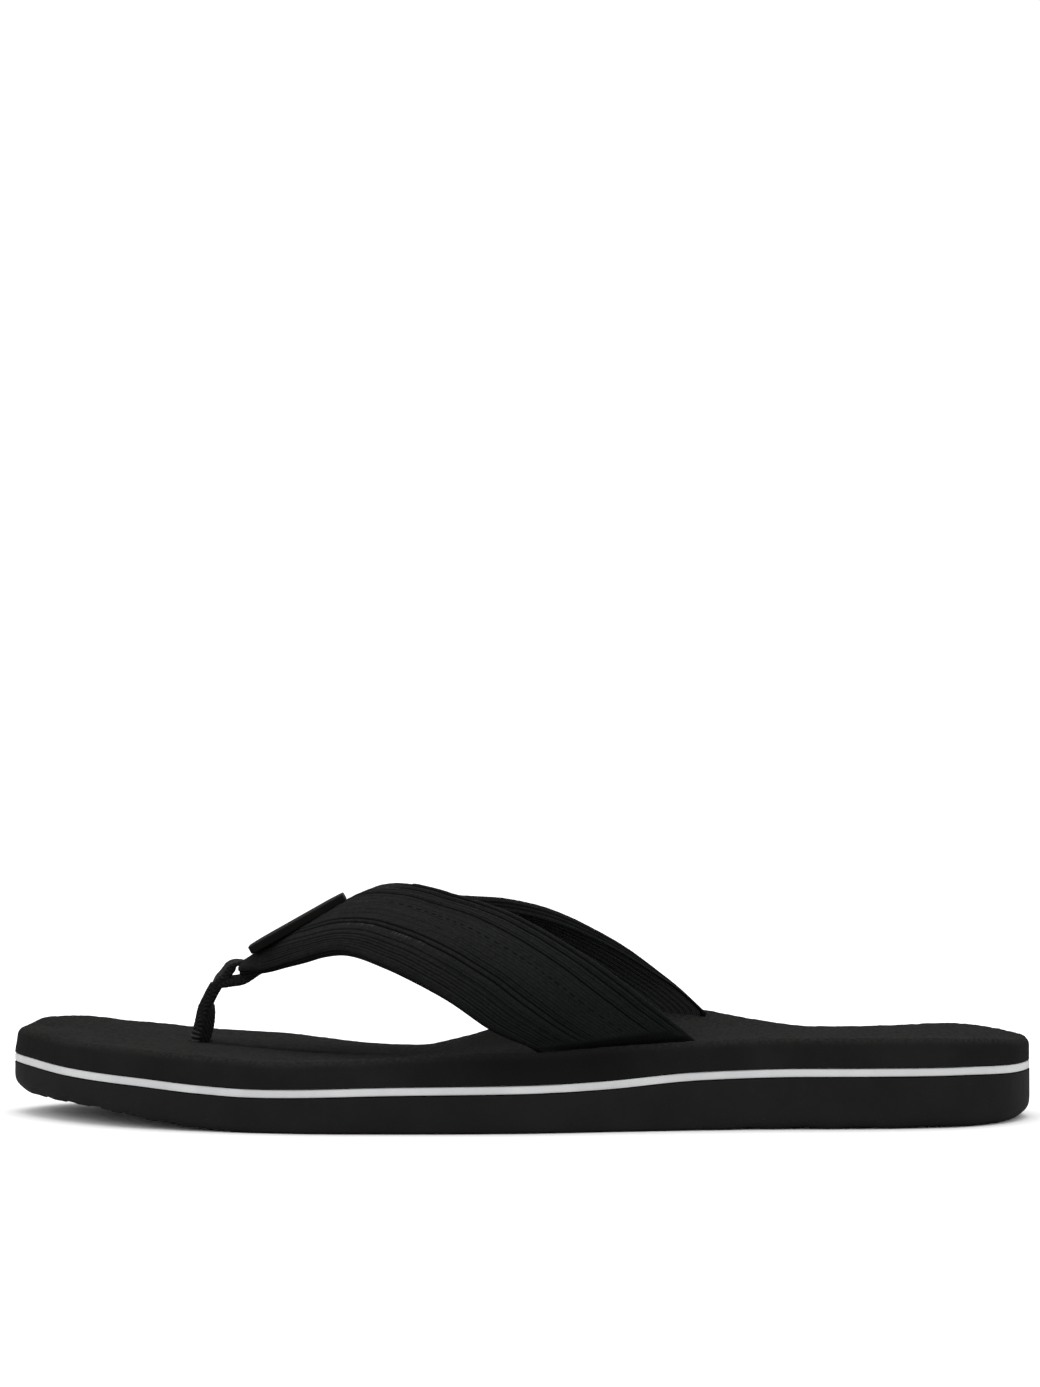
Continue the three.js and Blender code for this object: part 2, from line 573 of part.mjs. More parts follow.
// The same section laid on the strap at u, spanning the seam between two depths.
function tapeOnStrap(u, shallow, deep, width) {
  const row = (depth) => Array.from({ length: TAPE_STEPS + 1 }, (_, i) => {
    const reach = width * (i / TAPE_STEPS - 0.5);
    const half = reach > 0 ? medialHalf : lateralHalf;
    const point = ribbonPoint(half, u, Math.max(Math.abs(reach) - SEAM_HALF_GAP, 0), depth);
    return reach === 0 ? point.setY(postY) : point;
  });
  return [...row(shallow), ...row(deep).reverse()];
}

// The doubled tape from its anchor to the point where the two plies part.
const STEM = [
  { at: [0, anchorMiddle - ANCHOR_THICKNESS / 2], twist: POST_TURN },
  { at: [0, anchorMiddle + ANCHOR_THICKNESS / 2], twist: POST_TURN },
  { at: [0, deckLevel + 1.4], twist: POST_TURN },
  { at: [0.9, deckLevel + 5.5], twist: POST_TURN - 4 },
  { at: [1.4, deckLevel + 8.8], twist: POST_TURN - 13 },
  { at: [1.6, deckLevel + 10.8], twist: POST_TURN - 26 },
  { at: [2.1, deckLevel + 12.5], twist: -90 },
  { at: [3.2, deckLevel + 14.7], twist: -90 },
  { at: [4.2, deckLevel + 16.4], twist: -90 },
];

function makeStem() {
  const sections = STEM.map(({ at }, i) => (
    tapeSection(tapeCentre(at), tapeAxes(STEM, i), TAPE_WIDTH, 2 * TAPE_PLY)));
  return loft(sections, tapeCap);
}

// One leg, with some room round it where it is to be cut out of its neighbours: it starts
// inside the stem's end, on its own ply, and ends along the strap under the depth given.
const PLY_SEAT = 0.15;

function makeLeg({ ply, free, depth, from, to }, room) {
  const path = [...STEM.slice(-2), ...free.map((at) => ({ at, twist: -90 }))];
  const sections = path.map(({ at }, i) => {
    const axes = tapeAxes(path, i);
    const margin = i < 2 ? -PLY_SEAT : room;
    const spread = i < 2 ? (ply * TAPE_PLY) / 2 : 0;
    const centre = tapeCentre(at).addScaledVector(axes.thin, spread);
    return tapeSection(centre, axes, TAPE_WIDTH + 2 * margin, TAPE_PLY + 2 * margin);
  });
  const railLength = lateralHalf.rear.getLength();
  const held = strapStations(from / railLength, (to + room) / railLength).map((u) => (
    tapeOnStrap(u, depth - room, depth + TAPE_PLY + room, TAPE_WIDTH + 2 * room)));
  return loft([...sections, ...held], tapeCap);
}

const noseX = (SEAM[0][0] * LENGTH) / 100 - POST_X;
const noseZ = railPoint(SEAM[0]).z;
const UPPER_LEG = {
  ply: 1,
  free: [[noseX - 5.2, noseZ - 3.6], [noseX - 3.4, noseZ - 1.5], [noseX - 1.4, noseZ - 1.1]],
  depth: TEXTILE_THICKNESS + CLEARANCE,
  from: 0.6,
  to: TAPE_EMBED,
};
const LOWER_LEG = {
  ply: -1,
  free: [[noseX - 4.6, noseZ - 6.4], [noseX - 1.8, noseZ - 6], [noseX + 0.6, noseZ - 5.2]],
  depth: STACK + 2.5 * CLEARANCE,
  from: 5.5,
  to: TAPE_EMBED + 3,
};

const makeToePost = () => [UPPER_LEG, LOWER_LEG]
  .reduce((post, leg) => post.add(makeLeg(leg, 0)), makeStem());
const makePostRoom = () => makeLeg(UPPER_LEG, CLEARANCE).add(makeLeg(LOWER_LEG, CLEARANCE));

// The hole that the doubled tape passes through, turned as the tape is.
const tapeDepth = 2 * TAPE_PLY + 2 * CLEARANCE;

function makePostHole() {
  const hole = new THREE.BoxGeometry(TAPE_WIDTH + 2 * CLEARANCE, tapeDepth, deckLevel);
  hole.rotateZ(-THREE.MathUtils.degToRad(POST_TURN));
  return toSolid(hole.translate(POST_X, postY, anchorMiddle + deckLevel / 2 - ANCHOR_THICKNESS));
}

function makeAnchor() {
  return discSolid(ANCHOR_RADIUS, ANCHOR_THICKNESS, POST_X, postY, anchorMiddle)
    .subtract(makePostHole());
}

function makeAnchorPocket() {
  const depth = ANCHOR_THICKNESS + 2 * CLEARANCE;
  return discSolid(ANCHOR_RADIUS + CLEARANCE, 2 * depth, POST_X, postY, anchorTop);
}

// ---- badge -------------------------------------------------------------------------------
// A flat plate on the seam, lying along the chord between its two ends.
function makeBadge() {
  const [low, high] = [1, 3].map((i) => railPoint(SEAM[i]));
  const along = high.clone().sub(low).setY(0).normalize();
  const plate = new THREE.Shape();
  const [halfLength, halfWidth] = [BADGE_LENGTH / 2, BADGE_WIDTH / 2];
  const corners = [[1, -1], [1, 1], [-1, 1], [-1, -1]];
  corners.forEach(([x, y], i) => {
    const centre = [x * (halfLength - BADGE_CORNER), y * (halfWidth - BADGE_CORNER)];
    const start = (i - 1) * (Math.PI / 2);
    plate.absarc(...centre, BADGE_CORNER, start, start + Math.PI / 2, false);
  });
  const geometry = new THREE.ExtrudeGeometry(plate, {
    depth: BADGE_THICKNESS, bevelEnabled: false, curveSegments: 4,
  });
  const centre = railPoint(SEAM[2]);
  geometry.rotateY(-Math.atan2(along.z, along.x));
  const lift = vec(-along.z, 0, along.x).multiplyScalar(CLEARANCE);
  geometry.translate(centre.x + lift.x, centre.y, centre.z + lift.z);
  return toSolid(geometry);
}

// ---- assembly ----------------------------------------------------------------------------
const BLACK_FOAM = '#2b2b2a';
const OUTSOLE_BLACK = '#1f1f1e';
const STRIPE_GREY = '#bbbcbd';
const TEXTILE_BLACK = '#1b1c1b';
const LINING_BLACK = '#141414';
const TAPE_BLACK = '#191a19';
const BADGE_BLACK = '#292927';

const postHole = makePostHole();
const footbed = [lateralHalf, medialHalf]
  .reduce((solid, half) => solid.subtract(makeSlotCutter(half)), makeFootbed())
  .subtract(postHole);

const postRoom = makePostRoom();

const flipFlop = new THREE.Group();
flipFlop.add(
  toMesh('outsole', makeOutsole().subtract(makeAnchorPocket()), OUTSOLE_BLACK, 0.85),
  toMesh('midsole_stripe', makeStripe().subtract(postHole), STRIPE_GREY, 0.8),
  toMesh('footbed', footbed, BLACK_FOAM, 0.95),
  toMesh('lateral_strap_outer', makeOuter(lateralHalf).subtract(postRoom), TEXTILE_BLACK, 0.9),
  toMesh('lateral_strap_foam', makeFoam(lateralHalf), BLACK_FOAM, 0.9),
  toMesh('lateral_strap_backing', makeBacking(lateralHalf), TEXTILE_BLACK, 0.9),
  toMesh('medial_strap_outer', makeOuter(medialHalf).subtract(postRoom), TEXTILE_BLACK, 0.9),
  toMesh('medial_strap_foam', makeFoam(medialHalf), BLACK_FOAM, 0.9),
  toMesh('medial_strap_backing', makeBacking(medialHalf), TEXTILE_BLACK, 0.9),
  toMesh('vamp_lining', makeVampLining().subtract(postRoom), LINING_BLACK, 0.8),
  toMesh('toe_post', makeToePost(), TAPE_BLACK, 0.85),
  toMesh('toe_post_anchor', makeAnchor(), OUTSOLE_BLACK, 0.6),
  toMesh('badge', makeBadge(), BADGE_BLACK, 0.6),
);

const box = new THREE.Box3().setFromObject(flipFlop, true);
const centre = box.getCenter(new THREE.Vector3());
flipFlop.position.set(-centre.x, -centre.y, -box.min.z);

export default flipFlop;
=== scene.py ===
import math

import bmesh
import bpy
import numpy as np
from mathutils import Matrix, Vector


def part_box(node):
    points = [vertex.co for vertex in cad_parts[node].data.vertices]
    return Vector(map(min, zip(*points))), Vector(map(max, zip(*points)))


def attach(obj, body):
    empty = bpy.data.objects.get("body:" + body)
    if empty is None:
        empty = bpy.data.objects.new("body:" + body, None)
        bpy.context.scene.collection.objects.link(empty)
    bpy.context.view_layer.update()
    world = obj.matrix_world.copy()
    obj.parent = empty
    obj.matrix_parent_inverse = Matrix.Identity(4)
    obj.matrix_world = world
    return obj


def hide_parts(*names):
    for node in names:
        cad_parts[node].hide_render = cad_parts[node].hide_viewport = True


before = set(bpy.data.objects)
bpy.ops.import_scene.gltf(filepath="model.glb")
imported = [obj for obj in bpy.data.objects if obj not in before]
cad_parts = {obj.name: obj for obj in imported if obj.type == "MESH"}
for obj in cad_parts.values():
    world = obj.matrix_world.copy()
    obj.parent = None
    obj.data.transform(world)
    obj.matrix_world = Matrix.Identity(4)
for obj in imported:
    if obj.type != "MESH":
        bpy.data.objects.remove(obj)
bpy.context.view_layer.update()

# ---- camera ------------------------------------------------------------------------------
FOCAL_LENGTH = 141.4
SENSOR_WIDTH = 36
CAMERA_PLACE = (0, -1.495376, 0.152689)      # metres
CAMERA_TILT = 88.5975            # degrees up from straight down

lens_data = bpy.data.cameras.new("side_camera")
lens_data.lens = FOCAL_LENGTH
lens_data.sensor_width = SENSOR_WIDTH
camera = bpy.data.objects.new("side_camera", lens_data)
camera.location = CAMERA_PLACE
camera.rotation_euler = (math.radians(CAMERA_TILT), 0, 0)
bpy.context.scene.collection.objects.link(camera)
bpy.context.scene.camera = camera

# ---- sizes -------------------------------------------------------------------------------
LENGTH = 280
SOLE_WIDTH = 101
INSTEP_HEIGHT = 46               # from the deck to the top of the strap
OUTSOLE_THICKNESS = 9.3
STRIPE_THICKNESS = 2.4
FOOTBED_THICKNESS = 6.8
GLUE_GAP = 0.3                   # between the bonded layers of the sole
CLEARANCE = 0.3                  # round what passes through or lies in something
RIM_RADIUS = 2.5
GROUND_RADIUS = 1.4
TIP_RADIUS = 4.5
HEEL_EDGE_RADIUS = 2.6
TREAD_DEPTH = 1.5
TREAD_WIDTH = 3
TREAD_INSET = 3                  # from the sole's edge to the ends of its grooves
TOE_PITCH = 8                    # of the grooves, which lie wider apart towards the heel
HEEL_PITCH = 13
TEXTILE = 0.9                    # thickness of the strap's cloth
FOAM = 1.2                       # and of its padding
STACK = 2 * TEXTILE + FOAM + 2 * CLEARANCE
SLOT_INSET = 4.6
FLAP_LENGTH = 9                  # flat glued part of a strap's tail
FLAP_BEND = 3
TAPE_WIDTH = 5.6
TAPE_PLY = 1.2
TAPE_EMBED = 9                   # length of the tape that lies inside the strap
NOSE_MARGIN = 1.8                # between the tape's edge and the hem at the nose
POST_X = 51.6
POST_TURN = -50                  # degrees that the doubled tape is turned by
ANCHOR_RADIUS = 9
ANCHOR_THICKNESS = 2
BADGE_LENGTH = 30
BADGE_WIDTH = 11
BADGE_THICKNESS = 2.2
BADGE_CORNER = 1.2
DECK = OUTSOLE_THICKNESS + STRIPE_THICKNESS + FOOTBED_THICKNESS
LATERAL, MEDIAL = -1, 1          # the outer and the arch side

# The sole from above: x in percent of LENGTH and y in percent of SOLE_WIDTH.
OUTLINE = [
    [0, 13], [0.7, 5.5], [2.3, -3], [5.2, -14], [11, -30], [20.4, -42.5], [29, -48.5],
    [38.6, -49.7], [50, -48.2], [60.7, -42.6], [71.4, -37.9], [84, -36.4], [92, -32],
    [97.2, -21], [99.7, -6], [100, 2], [99.4, 10.5], [96.8, 25.5], [92, 33.8], [84, 36.6],
    [71.4, 36.3], [59, 36.8], [48.2, 39.3], [39.3, 44.8], [31.4, 48.8], [22.8, 50.3],
    [15, 48.5], [7.9, 41], [2.9, 30.5], [0.6, 21.5],
]
# Lines of the strap: x and y as above, and the rise over the deck in percent of INSTEP_HEIGHT.
SEAM = [
    [22.9, 11.9, 52], [24.5, 11.5, 58.5], [28.2, 10.5, 71.5], [32.2, 9.3, 85], [34.8, 8.5, 93.5],
    [37.2, 7.6, 98],
]
REAR_EDGE = {
    LATERAL: [[39.8, 3.5, 98], [44.1, -4.5, 92.5], [49, -13, 84], [53.8, -22.5, 70],
              [58.6, -30.2, 52], [63.4, -35, 30]],
    MEDIAL: [[39.6, 10.8, 95.5], [44, 15, 89.5], [49, 20, 86.5], [54, 25, 78], [60, 30, 59],
             [65, 32.5, 36.5]],
}
FRONT_EDGE = {
    LATERAL: [[27.3, -3, 53], [32.2, -14.4, 62], [36.4, -24, 56], [42.6, -35, 38.5],
              [47.2, -40.6, 20]],
    MEDIAL: [[27.3, 25, 54], [32.2, 31, 63], [38, 35.5, 61], [44.6, 38, 48], [49.5, 37, 30]],
}
# Where each half's rear and front edge enter the footbed, in percent of LENGTH.
SLOT = {LATERAL: (67.2, 52.1), MEDIAL: (68.6, 53)}


# ---- curves and profiles -----------------------------------------------------------------
def profile(pairs):
    """A smooth curve through (percent, value) pairs that never overshoots between two of them."""
    at, value = np.array(pairs, float).T
    rate = np.diff(value) / np.diff(at)
    slope = np.zeros(len(at))
    for i in range(1, len(at) - 1):
        before, after = rate[i - 1], rate[i]
        slope[i] = 0 if before * after <= 0 else 2 * before * after / (before + after)

    def curve(percent):
        p = np.clip(np.asarray(percent, float), at[0], at[-1])
        i = np.clip(np.searchsorted(at, p, side="right") - 1, 0, len(at) - 2)
        span = at[i + 1] - at[i]
        t = (p - at[i]) / span
        start = slope[i] * span * t * (1 - t) ** 2
        end = slope[i + 1] * span * t * t * (t - 1)
        return value[i] + (value[i + 1] - value[i]) * t * t * (3 - 2 * t) + start + end

    return curve


def smooth_line(points, closed=False, steps=60):
    """A centripetal Catmull-Rom curve through the points, as many short steps."""
    points = np.array(points, float)
    count = len(points)
    out = []
    for i in range(count if closed else count - 1):
        p1, p2 = points[i], points[(i + 1) % count]
        p0 = points[i - 1] if closed or i > 0 else 2 * points[0] - points[1]
        p3 = points[(i + 2) % count] if closed or i + 2 < count else 2 * points[-1] - points[-2]
        d0, d1, d2 = (np.linalg.norm(b - a) ** 0.5 for a, b in ((p0, p1), (p1, p2), (p2, p3)))
        t1 = ((p1 - p0) / d0 - (p2 - p0) / (d0 + d1) + (p2 - p1) / d1) * d1
        t2 = ((p2 - p1) / d1 - (p3 - p1) / (d1 + d2) + (p3 - p2) / d2) * d1
        t = np.linspace(0, 1, steps, endpoint=False)[:, None]
        cubic = (2 * p1 - 2 * p2 + t1 + t2) * t ** 3
        out.append(p1 + t1 * t + (-3 * p1 + 3 * p2 - 2 * t1 - t2) * t ** 2 + cubic)
    return np.vstack([*out, points[:1] if closed else points[-1:]])


def ease(value, low, high):
    """0 below low, 1 above high, smooth between."""
    t = np.clip((np.asarray(value, float) - low) / (high - low), 0, 1)
    return t * t * (3 - 2 * t)


def lerp(a, b, t):
    return a + (b - a) * t


def grain(points, size, seed=0):
    """A smooth random field from -1 to 1 that changes over about size millimetres."""
    scaled = np.asarray(points, float).reshape(-1, 3) / size
    cell = np.floor(scaled).astype(np.int64)
    part = scaled - cell
    part = part * part * (3 - 2 * part)
    total = np.zeros(len(scaled))
    for corner in range(8):
        step = np.array([corner & 1, corner >> 1 & 1, corner >> 2 & 1])
        key = ((cell + step) * np.array([73856093, 19349663, 83492791])).sum(1) + seed * 15485863
        key = (key ^ (key >> 13)) * 1274126177
        value = ((key ^ (key >> 16)) & 0xFFFF) / 32767.5 - 1
        total += value * np.prod(np.where(step == 1, part, 1 - part), axis=1)
    return total.reshape(np.shape(points)[:-1])


def unit(vectors):
    return vectors / np.maximum(np.linalg.norm(vectors, axis=-1, keepdims=True), 1e-9)


# ---- the sole's surfaces -----------------------------------------------------------------
# Heights in millimetres at percents of the length: how much the outsole thickens, how far its
# underside lifts, and how far the footbed's rims and middle stand over the deck.
WEDGE = profile([
    [0, 4.7], [6, 3.1], [13, 2.0], [19, 0.7], [25, 0], [38, 0.8], [51, 1.2], [58, 2.0],
    [67, 4.0], [78, 4.7], [93, 4.6], [100, 4.0],
])
TOE_SPRING = profile([[0, 5.6], [4, 5.0], [9, 4.2], [14, 2.3], [19, 0.9], [25, 0], [100, 0]])
LATERAL_RIM = profile([
    [0, 5.0], [5, 3.6], [11, 3.0], [20.7, 1.4], [27, 0.4], [33, 1.0], [44, 2.6], [52, 2.9],
    [58, 4.0], [67, 5.3], [75, 5.9], [88, 5.8], [96, 4.9], [100, 3.6],
])
MIDDLE = profile([
    [0, 4.6], [5, 4.3], [12, 2.3], [20, 0.8], [28, -0.8], [38, -1.4], [47, -0.6], [57, 1.2],
    [67, 2.8], [78, 3.2], [93, 3.3], [100, 3.2],
])
MEDIAL_RIM = profile([
    [0, 5.0], [2, 6.6], [5, 6.3], [11, 3.9], [19.6, 1.3], [27.5, -0.2], [35.7, -2.6],
    [39.6, -2.8], [43.9, -0.6], [47, 1.9], [53, 7.6], [60.5, 9.9], [68, 8.0], [73, 5.4],
    [80, 3.1], [87, 3.5], [94, 4.5], [98, 4.0], [100, 3.6],
])
# How far the strap's face bows out between its edges, along the strap from nose to slot.
CROWN = profile([
    [0, 0.4], [7, 2.2], [14, 4.0], [30, 5.0], [45, 5.4], [60, 5.0], [85, 3.2], [100, 2.0],
])


def percent_of(x):
    return 100 * x / LENGTH


def outsole_top(x):
    return OUTSOLE_THICKNESS + WEDGE(percent_of(x))


def stripe_top(x):
    return outsole_top(x) + STRIPE_THICKNESS


def footbed_under(x):
    return stripe_top(x) + GLUE_GAP / 2


def ground(x):
    return TOE_SPRING(percent_of(x))


def rim_height(x, side):
    percent = percent_of(x)
    return DECK + np.where(np.asarray(side) < 0, LATERAL_RIM(percent), MEDIAL_RIM(percent))


def middle_height(x):
    return DECK + MIDDLE(percent_of(x))


outline = smooth_line([[x * LENGTH / 100, y * SOLE_WIDTH / 100] for x, y in OUTLINE], True)[:-1]
outline = np.roll(outline, -int(outline[:, 0].argmin()), axis=0)
heel_end = int(outline[:, 0].argmax())
side_run = {
    LATERAL: outline[: heel_end + 1],
    MEDIAL: np.vstack([outline[:1], outline[heel_end:][::-1]]),
}
TOE_TIP, HEEL_TIP = outline[0, 0], outline[heel_end, 0]

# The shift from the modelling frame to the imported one, from the footbed's own box.
footbed_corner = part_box("footbed")[0]
SHIFT = np.array([
    footbed_corner.x * 1000 - TOE_TIP,
    footbed_corner.y * 1000 - outline[:, 1].min(),
    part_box("outsole")[0].z * 1000,
])


def outline_y(x, side):
    """Where the sole's edge is on one side at x."""
    run = side_run[side]
    return np.interp(x, run[:, 0], run[:, 1])


class SoleRing:
    """Stations round the sole, crowded at both ends, each with its inward direction and the
    point of the middle line that it closes on."""

    SPINE_MARGIN = 34

    def __init__(self, steps):
        turn = np.arange(steps + 1) * np.pi / steps
        x = lerp(TOE_TIP, HEEL_TIP, (1 - np.cos(turn)) / 2)
        lateral = np.stack([x, outline_y(x, LATERAL)], 1)
        medial = np.stack([x, outline_y(x, MEDIAL)], 1)[-2:0:-1]
        self.edge = np.vstack([lateral, medial])
        self.side = np.repeat([LATERAL, MEDIAL], [len(lateral), len(medial)])
        along = np.roll(self.edge, -1, 0) - np.roll(self.edge, 1, 0)
        self.inward = unit(np.stack([-along[:, 1], along[:, 0]], 1))
        spine = np.clip(self.edge[:, 0], TOE_TIP + self.SPINE_MARGIN, HEEL_TIP - self.SPINE_MARGIN)
        middle = (outline_y(spine, LATERAL) + outline_y(spine, MEDIAL)) / 2
        self.spine = np.stack([spine, middle], 1)

    def loop(self, inset, share, height):
        """One loop of points: inset in from the edge, then a share of the way to the middle."""
        start = self.edge + self.inward * np.reshape(inset, (-1, 1))
        flat = lerp(start, self.spine, share)
        return np.column_stack([flat, height(flat[:, 0], self.edge[:, 0], self.side, share)])


def deck_height(x, station, side, share):
    """The dished top of the footbed, from its rim (share 0) to its middle line (1)."""
    return lerp(rim_height(station, side), middle_height(x), 1 - (1 - share) ** 2)


# ---- meshes ------------------------------------------------------------------------------
WELD_DISTANCE = 2e-6             # metres
SLIVER_LENGTH = 1e-7


def new_piece(name, points, faces, marks=None):
    """A mesh object from points in the modelling frame, with named values at its points."""
    mesh = bpy.data.meshes.new(name)
    mesh.from_pydata(((np.asarray(points) + SHIFT) / 1000).tolist(), [], faces)
    for label, values in (marks or {}).items():
        values = np.asarray(values, np.float32)
        kind = "FLOAT_VECTOR" if values.ndim == 2 else "FLOAT"
        field = mesh.attributes.new(label, kind, "POINT")
        field.data.foreach_set("vector" if values.ndim == 2 else "value", values.ravel())
    piece = bpy.data.objects.new(name, mesh)
    bpy.context.scene.collection.objects.link(piece)
    return piece


def ring_faces(rows, count, caps=False):
    """Quads between closed loops of points, with a face over each end if caps is set."""
    i = np.arange(count)
    j = (i + 1) % count
    faces = [
        quad
        for row in range(rows - 1)
        for quad in zip(*(a.tolist() for a in (
            row * count + i, row * count + j, (row + 1) * count + j, (row + 1) * count + i)))
    ]
    if caps:
        faces += [tuple(range(count - 1, -1, -1)), tuple(range((rows - 1) * count, rows * count))]
    return faces


def loft(name, loops, caps=False, marks=None):
    """A closed piece through loops of points; without caps its first and last loop pinch."""
    loops = np.asarray(loops)
    rows, count = loops.shape[:2]
    flat_marks = {}
    for label, values in (marks or {}).items():
        flat_marks[label] = np.reshape(values, (rows * count, *np.shape(values)[2:]))
    piece = new_piece(name, loops.reshape(-1, 3), ring_faces(rows, count, caps), flat_marks)
    clean(piece, not caps)
    return piece


def clean(piece, weld):
    """Turns every face outwards, after joining coincident points if weld is set."""
    form = bmesh.new()
    form.from_mesh(piece.data)
    if weld:
        bmesh.ops.remove_doubles(form, verts=form.verts, dist=WELD_DISTANCE)
        bmesh.ops.dissolve_degenerate(form, edges=form.edges, dist=SLIVER_LENGTH)
    bmesh.ops.recalc_face_normals(form, faces=form.faces)
    if form.calc_volume(signed=True) < 0:
        bmesh.ops.reverse_faces(form, faces=form.faces)
    form.to_mesh(piece.data)
    form.free()


def boolean(piece, other, operation):
    """Cuts other out of piece, or joins it, and removes it."""
    change = piece.modifiers.new("change", "BOOLEAN")
    change.operation = operation
    change.object = other
    change.solver = "MANIFOLD"
    bpy.context.view_layer.update()
    shaped = piece.evaluated_get(bpy.context.evaluated_depsgraph_get())
    mesh = bpy.data.meshes.new_from_object(shaped)
    piece.modifiers.clear()
    piece.data = mesh
    bpy.data.objects.remove(other)


def soften(piece, degrees=40):
    """Smooth shading, with edges sharper than this kept crisp."""
    piece.data.shade_smooth()
    piece.data.set_sharp_from_angle(angle=math.radians(degrees))


# ---- the strap's surface -----------------------------------------------------------------
SEAM_HALF_GAP = 0.2
SEAM_Y = SEAM[0][1] * SOLE_WIDTH / 100
NOSE_HALF_WIDTH = TAPE_WIDTH / 2 + TEXTILE + NOSE_MARGIN
NOSE_CORNER = [22.1, 0, 47]      # where the front edge starts; y is set by the nose's width
NOSE_FLANK = [24.2, 0, 46.5]
FLANK_SPREAD = 1.5
TAIL_FOLD, TAIL_FLAT, TAIL_END = 1.2, 1.4, 1.6   # u where it starts to bend, lies flat and ends
TANGENT_STEP = 0.004             # step in u for the direction along the strap
MITRE_REACH = 3                  # of the seam's mitre, across the strap
SEAM_PARTING = (1.5, 4)          # distance from the seam's plane over which the mitre ends
NOTCH_RUN = 4                    # how far behind the seam's end the notch takes to open
HEM_PARTING = (4, 6.5)           # distance from the seam's plane over which a rear hem opens
HEM_CLOSED = TEXTILE + 0.02
HEM_CLOSING = (1, 1.1)           # u over which the hems close again, inside the footbed


def rail_point(spot):
    x, y, rise = spot
    return np.array([x * LENGTH / 100, y * SOLE_WIDTH / 100, DECK + rise * INSTEP_HEIGHT / 100])


def slot_point(percent, side):
    x = percent * LENGTH / 100
    height = float(rim_height(x, side)) - CLEARANCE
    return np.array([x, float(outline_y(x, side)) - side * SLOT_INSET, height])


class Rail:
    """One edge of the strap as a smooth line; u is the share of its length."""

    def __init__(self, points):
        self.line = smooth_line(points)
        steps = np.linalg.norm(np.diff(self.line, axis=0), axis=1)
        self.length = steps.sum()
        self.share = np.concatenate([[0], steps.cumsum()]) / self.length

    def at(self, u):
        return np.stack([np.interp(u, self.share, self.line[:, k]) for k in range(3)], -1)


